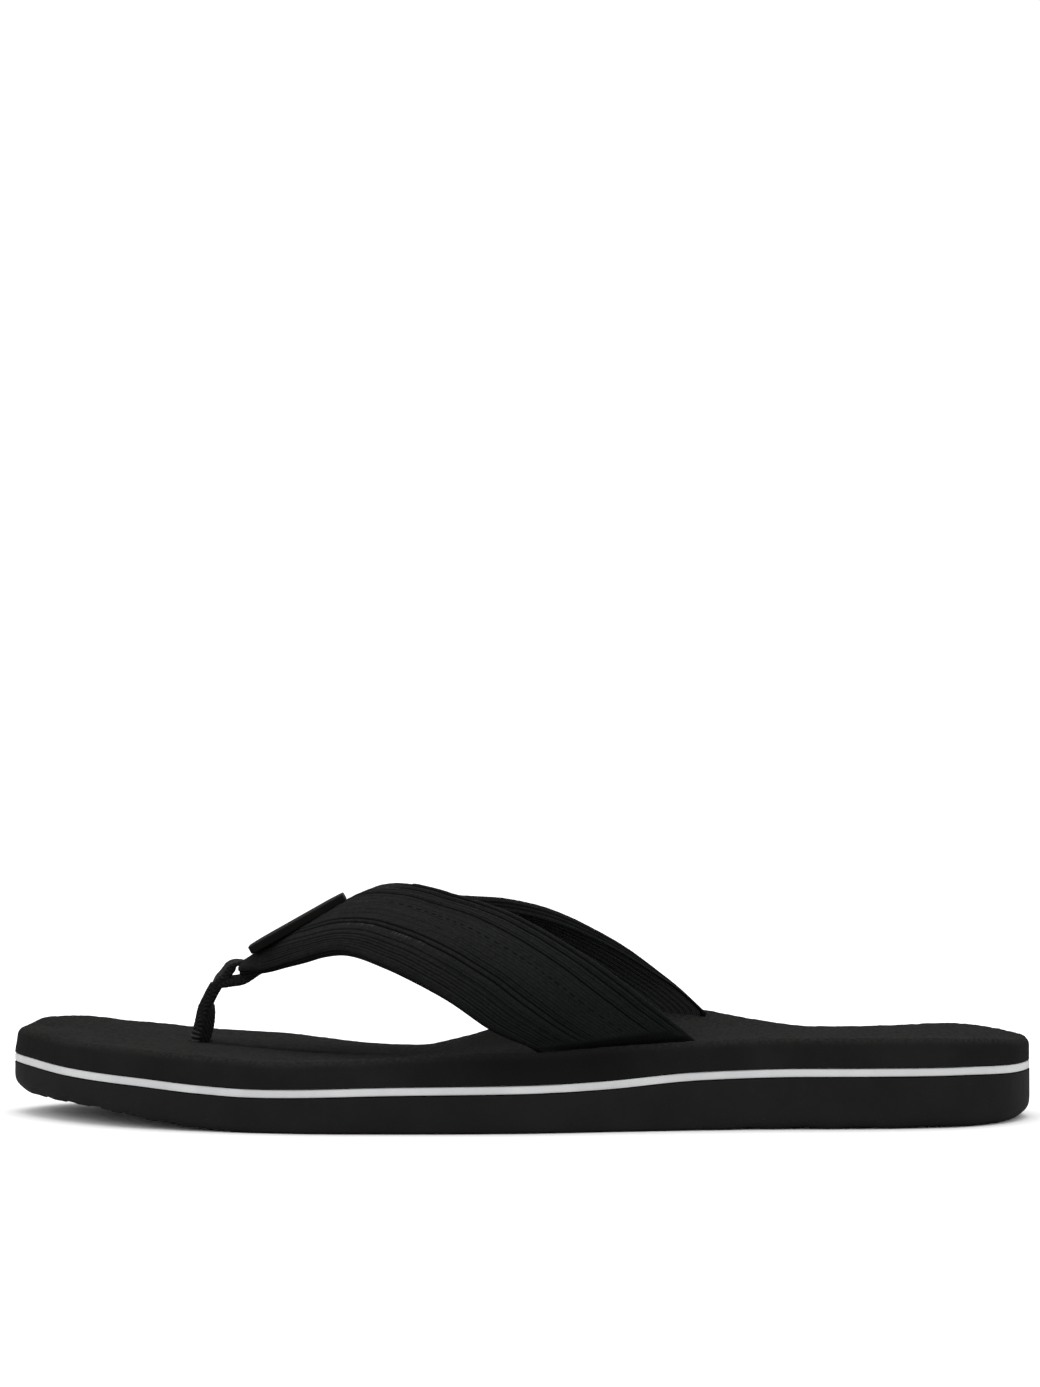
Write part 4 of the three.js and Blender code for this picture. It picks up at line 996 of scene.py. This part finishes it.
def tape_outline(width, thickness, across=14, edge=4):
    """A flat tape's section with rounded edges, as distances across it and through it."""
    r = thickness / 2
    bulge = 0.55 * r
    turn = np.linspace(-np.pi / 2, np.pi / 2, 2 * edge + 1)
    right = np.column_stack([width / 2 - bulge + bulge * np.cos(turn), r * np.sin(turn)])
    run = np.linspace(width / 2 - bulge, -width / 2 + bulge, across)[1:-1]
    top = np.column_stack([run, np.full(len(run), r)])
    return np.vstack([right, top, -right, -top])


def tape_marks(section, travel, width):
    """The woven relief of a tape: a twill on its faces and cross ridges along its edges, which
    stand out for the first stretch above the deck."""
    across = np.abs(section[:, 0])
    on_edge = ease(across, width / 2 - 0.9, width / 2 - 0.35)
    twill = np.sin((travel + across * 1.1) * 2 * np.pi / 1.25)
    ridge = np.sin(travel * 2 * np.pi / 1.15)
    plain = 1 - 0.85 * ease(travel, *RIDGES_FADE)
    return 0.045 * twill * (1 - on_edge) + 0.16 * ridge * on_edge * plain, on_edge * plain


def sweep_tape(name, centres, wide, thin, widths, thicknesses, start=0.0):
    """A tape along a line of centres with its own directions, width and thickness at each."""
    steps = np.linalg.norm(np.diff(centres, axis=0), axis=1)
    travel = start + np.concatenate([[0], steps.cumsum()])
    loops, cloth, edges = [], [], []
    widths = np.broadcast_to(widths, len(centres))
    thicknesses = np.broadcast_to(thicknesses, len(centres))
    for i, (centre, width, thickness) in enumerate(zip(centres, widths, thicknesses)):
        section = tape_outline(width, thickness)
        relief, on_edge = tape_marks(section, travel[i], width)
        flat = section[:, :1] * wide[i] + section[:, 1:] * thin[i]
        loops.append(centre + flat + unit(flat) * relief[:, None])
        along = np.full(len(section), travel[i])
        cloth.append(np.column_stack([section[:, 0], along, section[:, 1]]))
        edges.append(on_edge)
    return loft(name, loops, True, {"cloth": cloth, "edge": edges})


def tape_axes(path):
    """Directions across and through a tape that climbs in the x-z plane and twists."""
    along = unit(np.gradient(path[:, :2], axis=0))
    flat = np.column_stack([along[:, 1], 0 * along[:, 0], -along[:, 0]])
    turn = np.radians(path[:, 2])[:, None]
    side = np.array([0, 1, 0])
    return flat * np.cos(turn) - side * np.sin(turn), flat * np.sin(turn) + side * np.cos(turn)


def resample(line, measured, extra=0):
    """A line's points again at even steps along its first measured coordinates."""
    steps = np.linalg.norm(np.diff(line[:, :measured], axis=0), axis=1)
    travel = np.concatenate([[0], steps.cumsum()])
    even = np.linspace(0, travel[-1], int(travel[-1] / TAPE_STEP) + extra)
    return np.stack([np.interp(even, travel, line[:, k]) for k in range(3)], 1)


def even_path(points):
    """A smooth line through (x, z, twist) points, with even steps in x and z."""
    return resample(smooth_line(points, steps=30), 2, 1)


def tape_place(path):
    """The points in space of a path's x and z."""
    return np.column_stack([POST_X + path[:, 0], np.full(len(path), SEAM_Y), path[:, 1]])


def make_leg(name, leg):
    """One ply: it starts inside the stem's end and ends along the strap at its own depth."""
    path = even_path([*STEM[-2:], *[(*spot, -90) for spot in leg["free"]]])
    thin = tape_axes(path)[1]
    seated = 1 - ease(np.linspace(0, 1, len(path)), 0.1, 0.45)
    free = tape_place(path) + thin * (leg["ply"] * TAPE_PLY / 2 * seated)[:, None]
    half = halves[LATERAL]
    held = np.linspace(leg["start"], leg["end"], 24) / half.rear.length
    middle = np.full((24, 1), leg["depth"] + TAPE_PLY / 2)
    on_seam = half.points(held, np.zeros((24, 1)), middle)[:, 0]
    on_seam[:, 1] = SEAM_Y
    centres = resample(smooth_line(np.vstack([free[::6], on_seam[::4]]), steps=10), 3)
    along = unit(np.gradient(centres, axis=0))
    wide = np.tile([0.0, 1.0, 0.0], (len(centres), 1))
    thin = unit(np.cross(along, wide))
    share = np.linspace(0, 1, len(centres))
    turn = np.radians(leg["turn"]) * (ease(share, 0, 0.25) * (1 - ease(share, 0.4, 0.6)))[:, None]
    cos, sin = np.cos(turn), np.sin(turn)
    wide, thin = wide * cos + thin * sin, thin * cos - wide * sin
    plump = ease(share, 0.05, 0.2) * (1 - ease(share, leg["grip"] - 0.12, leg["grip"]))
    thicknesses = TAPE_PLY + leg["plump"] * plump
    return sweep_tape(name, centres, wide, thin, TAPE_WIDTH, thicknesses, RIDGES_FADE[1])


def make_toe_post():
    """The doubled tape from its anchor up through the footbed, and its two plies above."""
    path = even_path(STEM)
    wide, thin = tape_axes(path)
    bulk = ease(path[:, 1], DECK + 0.2, DECK + 2.5)
    widths, thicknesses = TAPE_WIDTH + STEM_BULK[0] * bulk, 2 * TAPE_PLY + STEM_BULK[1] * bulk
    post = sweep_tape("woven_toe_post", tape_place(path), wide, thin, widths, thicknesses)
    for name, leg in (("upper_leg", UPPER_LEG), ("lower_leg", LOWER_LEG)):
        boolean(post, make_leg(name, leg), "UNION")
    return post


# ---- badge -------------------------------------------------------------------------------
BADGE_BEVEL = 0.35
BADGE_DROOP = 0.55               # how far its long edges bend down over the strap
CORNER_INSET = 1.1               # past this its rings of points keep their corners and shrink
RING_SHRINK = np.array([15, 7.5])    # insets that would shrink them to a point


def make_badge():
    """A plain plate with rounded corners and softened edges, lying on the seam's chord."""
    low, centre, high = (rail_point(SEAM[i]) for i in (1, 2, 3))
    slope = math.atan2(high[2] - low[2], high[0] - low[0])
    along = np.array([math.cos(slope), 0, math.sin(slope)])
    up = np.array([-math.sin(slope), 0, math.cos(slope)])

    def rounded(inset):
        r = BADGE_CORNER - inset * 0.6
        x, y = BADGE_LENGTH / 2 - inset - r, BADGE_WIDTH / 2 - inset - r
        out = []
        for k, (cx, cy) in enumerate(((x, y), (-x, y), (-x, -y), (x, -y))):
            turn = np.linspace(0, np.pi / 2, 9) + k * np.pi / 2
            out.append(np.column_stack([cx + r * np.cos(turn), cy + r * np.sin(turn)]))
        return np.vstack(out)

    rows = [(5.4, 0), (4, 0), (2.5, 0), (BADGE_BEVEL, 0)]
    for angle in np.linspace(0, np.pi / 2, 5)[1:]:
        rows.append((BADGE_BEVEL * (1 - math.sin(angle)), BADGE_BEVEL * (1 - math.cos(angle))))
    rows += [(inset, BADGE_THICKNESS - rise) for inset, rise in rows[::-1]]
    loops = []
    for inset, rise in rows:
        flat = rounded(min(inset, CORNER_INSET)) * (1 - max(inset - CORNER_INSET, 0) / RING_SHRINK)
        height = rise + CLEARANCE - BADGE_DROOP * (flat[:, 1:] / (BADGE_WIDTH / 2)) ** 2
        loops.append(centre + flat[:, :1] * along + flat[:, 1:] * [0, 1, 0] + height * up)
    return loft("plain_badge", loops, True)


# ---- materials ---------------------------------------------------------------------------
class Wire:
    """A shader socket that arithmetic turns into Math nodes."""

    def __init__(self, finish, socket):
        self.finish, self.socket = finish, socket

    def math(self, operation, *values):
        inputs = dict(enumerate([self, *values]))
        return self.finish.node("Math", {"operation": operation}, inputs)

    def __add__(self, other):
        return self.math("ADD", other)

    def __sub__(self, other):
        return self.math("SUBTRACT", other)

    def __mul__(self, other):
        return self.math("MULTIPLY", other)

    def __rsub__(self, other):
        return self * -1 + other

    __radd__ = __add__
    __rmul__ = __mul__

    def power(self, exponent):
        return self.math("POWER", exponent)

    def between(self, low, high):
        """0 below low, 1 above high, smooth between."""
        settings = {"interpolation_type": "SMOOTHSTEP"}
        return self.finish.node("MapRange", settings, {"Value": self, "From Min": low, "From Max": high})


class Finish:
    """A procedural material: one Principled shader and the nodes that feed it."""

    def __init__(self, name, roughness=0.9, specular=0.2, sheen=0.0, sheen_roughness=0.5):
        self.material = bpy.data.materials.new(name)
        self.material.use_nodes = True
        self.tree = self.material.node_tree
        self.shader = self.tree.nodes["Principled BSDF"]
        inputs = self.shader.inputs
        inputs["Roughness"].default_value = roughness
        inputs["Specular IOR Level"].default_value = specular
        inputs["Sheen Weight"].default_value = sheen
        inputs["Sheen Roughness"].default_value = sheen_roughness

    def node(self, kind, settings=None, inputs=None, output=0):
        node = self.tree.nodes.new("ShaderNode" + kind)
        for key, value in (settings or {}).items():
            setattr(node, key, value)
        for key, value in (inputs or {}).items():
            if isinstance(value, Wire):
                self.tree.links.new(value.socket, node.inputs[key])
            else:
                node.inputs[key].default_value = value
        return Wire(self, node.outputs[output])

    def place(self):
        """Where a point is on the object, in metres."""
        return self.node("TexCoord", output="Object")

    def field(self, label, output="Fac"):
        return self.node("Attribute", {"attribute_name": label}, output=output)

    def stretched(self, vector, scale):
        return self.node("Mapping", inputs={"Vector": vector, "Scale": scale})

    def noise(self, vector, scale, detail=3, roughness=0.5):
        values = {"Vector": vector, "Scale": scale, "Detail": detail, "Roughness": roughness}
        return self.node("TexNoise", inputs=values)

    def cells(self, vector, scale, feature="F1"):
        return self.node("TexVoronoi", {"feature": feature}, {"Vector": vector, "Scale": scale})

    def blend(self, mask, first, second):
        """The first colour where mask is 0 and the second where it is 1."""
        pair = {0: mask}
        for key, value in ((6, first), (7, second)):
            pair[key] = value if isinstance(value, Wire) else (*value, 1)
        return self.node("Mix", {"data_type": "RGBA"}, pair, 2)

    def relief(self, height, distance, strength=1.0, under=None):
        """A bump of this many metres, on top of another one if it is given."""
        values = {"Height": height, "Distance": distance, "Strength": strength}
        if under:
            values["Normal"] = under
        return self.node("Bump", inputs=values)

    def feed(self, **sockets):
        for key, value in sockets.items():
            self.tree.links.new(value.socket, self.shader.inputs[key.replace("_", " ")])
        return self.material


def grey(level, warmth=0.0):
    """A near-neutral colour, a little warmer or cooler."""
    return level * (1 + warmth), level, level * (1 - warmth)


def footbed_finish():
    """Pebbled moulded foam on top, plain cut foam on the sides; the top is also painted paler as painted
    light from above, and painted shade darkens the toe crease and the deck in front of the lateral slot.
    """
    f = Finish("pebbled_black_foam", roughness=0.95, specular=0.008)
    place = f.place()
    up = f.node("SeparateXYZ", inputs={0: f.node("NewGeometry", output="Normal")}, output=2)
    deck = up.between(0.2, 0.95)
    pebbles = f.cells(place, 1150, "SMOOTH_F1")
    crumbs = f.noise(place, 2600, 4, 0.7)
    clouds = f.noise(place, 60, 4, 0.6)
    specks = f.cells(place, 420).between(0.07, 0.02)
    # painted light: the top's colours are paler than the side's, as if lit more from above; its pebbles
    # are the foam's own
    top = f.blend(pebbles.between(0.2, 0.7), grey(0.016, 0.02), grey(0.0095, 0.02))
    top = f.blend(clouds.between(0.35, 0.75) * 0.5, top, grey(0.0155, 0.04))
    # painted shade along the toe crease
    top = f.blend(f.field("crease") * 0.75, top, grey(0.005))
    side = f.blend(clouds.between(0.3, 0.7), grey(0.0082, 0.01), grey(0.0108, 0.015))
    side = f.blend(specks * 0.35, side, grey(0.03))
    colour = f.blend(deck, side, top)
    slot_shadow = (0.006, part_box("lateral_strap_outer")[0].y, 0.046)
    by_slot = f.node("VectorMath", {"operation": "DISTANCE"}, {
        0: f.stretched(place, (1, 1, 2)), 1: slot_shadow}, 1)
    colour = f.blend(by_slot.between(0.05, 0.01) * 0.75, colour, grey(0.004))
    bumps = (1 - pebbles) * deck + crumbs * 0.4
    normal = f.relief(bumps, 0.0003, 0.8)
    return f.feed(Base_Color=colour, Roughness=crumbs * 0.12 + 0.86, Normal=normal)


def outsole_finish():
    """Plain black foam, a little cloudy, with a few pale specks."""
    f = Finish("black_outsole_foam", roughness=0.85, specular=0.05)
    place = f.place()
    clouds = f.noise(place, 45, 5, 0.6)
    fine = f.noise(place, 1500, 3, 0.6)
    specks = f.cells(place, 260).between(0.05, 0.015)
    colour = f.blend(clouds.between(0.3, 0.7), grey(0.0072), grey(0.0098))
    colour = f.blend(specks * 0.4, colour, grey(0.04))
    return f.feed(Base_Color=colour, Roughness=clouds * 0.2 + 0.72, Normal=f.relief(fine, 0.00008))


def stripe_finish():
    f = Finish("light_grey_foam", roughness=0.75, specular=0.25)
    place = f.place()
    clouds = f.noise(place, 70, 4, 0.6)
    fine = f.noise(place, 1800, 3, 0.6)
    colour = f.blend(clouds.between(0.3, 0.75), grey(0.42, -0.01), grey(0.485, -0.005))
    return f.feed(Base_Color=colour, Roughness=fine * 0.1 + 0.7, Normal=f.relief(fine, 0.00006))


def textile_finish():
    """Ribbed knitted band: fine courses across it, painted shade in its grooves, hem lines and just
    above its slot, painted highlights on its raised loops, and painted shade that darkens it towards its
    slot.
    """
    f = Finish("ribbed_black_textile", roughness=0.95, specular=0.03, sheen=0.012, sheen_roughness=0.5)
    cloth = f.field("cloth", "Vector")
    place = f.place()
    painted_shade = f.field("painted_shade")
    loops = f.field("loop_highlight")
    courses = f.node("TexWave", {"wave_type": "BANDS", "bands_direction": "Y"}, {
        "Vector": cloth, "Scale": 0.62, "Distortion": 2.2, "Detail": 2, "Detail Scale": 3}, 1)
    wales = f.node("TexWave", {"wave_type": "BANDS", "bands_direction": "X"}, {
        "Vector": cloth, "Scale": 0.5, "Distortion": 3.5, "Detail": 2, "Detail Scale": 2}, 1)
    fuzz = f.noise(place, 2400, 4, 0.7)
    clouds = f.noise(f.stretched(cloth, (0.25, 0.05, 0.2)), 1, 4, 0.6)
    mottle = f.noise(place, 800, 5, 0.75)
    travel = f.node("SeparateXYZ", inputs={0: cloth}, output=1)
    colour = f.blend(clouds.between(0.3, 0.75), grey(0.0052, -0.03), grey(0.0085, -0.02))
    colour = f.blend(fuzz.between(0.4, 0.75) * 0.8, colour, grey(0.0135, -0.02))
    colour = f.blend(mottle.between(0.42, 0.7) * 0.6, colour, grey(0.016, -0.01))
    # painted shade: the band darkens towards its slot, where less light reaches it, in a greenish tint
    colour = f.blend(travel.between(75, 150) * 0.6, colour, (0.0022, 0.0034, 0.0030))
    # painted shade in the grooves, the hem lines and just above the slot
    colour = f.blend(painted_shade * 0.9, colour, grey(0.001))
    # painted highlight on the raised loops
    colour = f.blend(loops * fuzz.between(0.3, 0.6), colour, grey(0.045, -0.02))
    knit = courses * 0.5 + wales * 0.35 + fuzz * 0.6
    return f.feed(Base_Color=colour, Roughness=fuzz * 0.1 + 0.88, Normal=f.relief(knit, 0.00022, 1.0))


def lining_finish(name, shade, ribbed):
    """A dark lining cloth; the ribbed one has painted light that makes it paler towards its slot."""
    f = Finish(name, roughness=0.9, specular=0.04, sheen=0.01)
    cloth = f.field("cloth", "Vector")
    place = f.place()
    fuzz = f.noise(place, 2200, 4, 0.7)
    clouds = f.noise(place, 110, 4, 0.6)
    colour = f.blend(clouds.between(0.3, 0.75), grey(shade, -0.02), grey(shade * 1.5, -0.02))
    weave = fuzz
    if ribbed:
        travel = f.node("SeparateXYZ", inputs={0: cloth}, output=1)
        # painted light: paler towards the slot, where the lining's inside is less shaded
        colour = f.blend(travel.between(100, 135), colour, grey(shade * 1.35, -0.04))
        ribs = f.node("TexWave", {"wave_type": "BANDS", "bands_direction": "X"}, {
            "Vector": cloth, "Scale": 0.55, "Distortion": 1.2, "Detail": 2}, 1)
        colour = f.blend(ribs.between(0.45, 0.1), colour, grey(shade * 0.3))
        weave = ribs * 0.8 + fuzz * 0.6
    return f.feed(Base_Color=colour, Roughness=fuzz * 0.1 + 0.85, Normal=f.relief(weave, 0.00015, 0.8))


def tape_finish():
    """A woven tape: a tight twill on its faces and pale cross ridges along its edges."""
    f = Finish("woven_black_tape", roughness=0.85, specular=0.06, sheen=0.015)
    cloth = f.field("cloth", "Vector")
    place = f.place()
    edge = f.field("edge")
    twill = f.node("TexWave", {"wave_type": "BANDS", "bands_direction": "DIAGONAL"}, {
        "Vector": cloth, "Scale": 0.42, "Distortion": 0.8, "Detail": 1}, 1)
    ridges = f.node("TexWave", {"wave_type": "BANDS", "bands_direction": "Y"}, {
        "Vector": cloth, "Scale": 0.275, "Distortion": 0.6, "Detail": 1}, 1)
    fuzz = f.noise(place, 2600, 4, 0.7)
    specks = f.noise(place, 1500, 4, 0.7)
    colour = f.blend(twill.between(0.3, 0.8), grey(0.0042), grey(0.006, 0.01))
    colour = f.blend(specks.between(0.5, 0.72) * 0.8, colour, grey(0.017, 0.03))
    colour = f.blend(edge * ridges.between(0.45, 0.85) * 0.7, colour, grey(0.04, 0.01))
    colour = f.blend(fuzz.between(0.55, 0.85) * 0.5, colour, grey(0.016, 0.01))
    weave = twill * (1 - edge) + ridges * edge + fuzz * 0.4
    return f.feed(Base_Color=colour, Roughness=fuzz * 0.15 + 0.78, Normal=f.relief(weave, 0.0002, 0.8))


def badge_finish():
    f = Finish("moulded_badge_rubber", roughness=0.75, specular=0.02)
    place = f.place()
    clouds = f.noise(place, 130, 4, 0.6)
    fine = f.noise(place, 2600, 3, 0.6)
    colour = f.blend(clouds.between(0.3, 0.75), grey(0.0038, 0.04), grey(0.0052, 0.08))
    return f.feed(Base_Color=colour, Roughness=fine * 0.15 + 0.55, Normal=f.relief(fine, 0.00005))


def padding_finish():
    """Open-cell foam, which the cloth hides."""
    f = Finish("open_cell_padding", roughness=1.0, specular=0.05)
    place = f.place()
    pores = f.cells(place, 1600)
    colour = f.blend(pores.between(0.2, 0.6), grey(0.03), grey(0.05))
    return f.feed(Base_Color=colour, Roughness=pores * 0.1 + 0.88, Normal=f.relief(pores, 0.0002))


def anchor_finish():
    f = Finish("moulded_anchor_rubber", roughness=0.6, specular=0.3)
    fine = f.noise(f.place(), 900, 3, 0.6)
    colour = f.blend(fine.between(0.35, 0.7), grey(0.012), grey(0.017))
    return f.feed(Base_Color=colour, Roughness=fine * 0.2 + 0.5, Normal=f.relief(fine, 0.0001))


# ---- pieces and their places -------------------------------------------------------------
def settle(piece, node, finish, degrees=40):
    """Gives a piece its finish and its body, and hides the CAD node that it stands in for."""
    piece.data.materials.clear()
    piece.data.materials.append(finish)
    soften(piece, degrees)
    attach(piece, "root")
    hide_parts(node)
    return piece


textile = textile_finish()
backing_cloth = lining_finish("ribbed_lining_textile", 0.014, True)
vamp_cloth = lining_finish("smooth_vamp_lining", 0.006, False)
padding = padding_finish()

settle(make_footbed(), "footbed", footbed_finish(), 50)
settle(make_stripe(), "midsole_stripe", stripe_finish(), 60)
settle(make_outsole(), "outsole", outsole_finish(), 50)

for half in halves.values():
    node = f"{half.name}_strap"
    band = settle(make_outer(half), f"{node}_outer", textile)
    pad = settle(make_padding(half), f"{node}_foam", padding)
    back = settle(make_backing(half), f"{node}_backing", backing_cloth)
    flat, area = cut_size(half, 0, TAIL_END, 2 * STACK)
    flat, area = cut_size(half, LINING_JOINT, LINING_END, -2 * HEM_INSET)

vamp = settle(make_vamp_lining(), "vamp_lining", vamp_cloth)
both = [cut_size(half, 0, LINING_JOINT, -HEM_INSET) for half in halves.values()]
settle(make_toe_post(), "toe_post", tape_finish())
settle(make_badge(), "badge", badge_finish(), 30)

# Nothing shows the anchor disc, so it keeps its CAD mesh.
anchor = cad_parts["toe_post_anchor"]
anchor.data.materials.clear()
anchor.data.materials.append(anchor_finish())

# ---- floor and light ---------------------------------------------------------------------
FLOOR_CORNERS = [(-6, -4), (6, -4), (6, 8), (-6, 8)]     # metres, as all below
FLOOR_HEIGHT = -0.0001           # just under the tread
WORLD_STRENGTH = 1.12

floor_mesh = bpy.data.meshes.new("studio_floor")
floor_mesh.from_pydata([(x, y, FLOOR_HEIGHT) for x, y in FLOOR_CORNERS], [], [(0, 1, 2, 3)])
floor = bpy.data.objects.new("studio_floor", floor_mesh)
bpy.context.scene.collection.objects.link(floor)
paper = Finish("white_paper", roughness=0.9, specular=0.0)
paper_tone = paper.noise(paper.place(), 3, 2)
paper.feed(Base_Color=paper.blend(paper_tone.between(0.3, 0.7), grey(0.9), grey(0.91)))
floor_mesh.materials.append(paper.material)

world = bpy.data.worlds.new("studio")
bpy.context.scene.world = world
world.use_nodes = True
sky = world.node_tree.nodes["Background"].inputs
sky["Color"].default_value = (1, 1, 1, 1)
sky["Strength"].default_value = WORLD_STRENGTH


def soft_box(name, place, aim, size, power):
    """A square soft light at a place, turned towards a point."""
    light = bpy.data.lights.new(name, "AREA")
    light.shape = "SQUARE"
    light.size = size
    light.energy = power
    box = bpy.data.objects.new(name, light)
    box.location = place
    box.rotation_euler = (Vector(aim) - Vector(place)).to_track_quat("-Z", "Y").to_euler()
    bpy.context.scene.collection.objects.link(box)


soft_box("overhead_box", (0, 0.3, 1.6), (0, 0, 0), 1.6, 14)
soft_box("front_box", (-0.9, -1.6, 0.9), (0, 0, 0.03), 0.9, 5)

bpy.context.scene.view_settings.view_transform = "Standard"
bpy.context.scene.view_settings.look = "None"
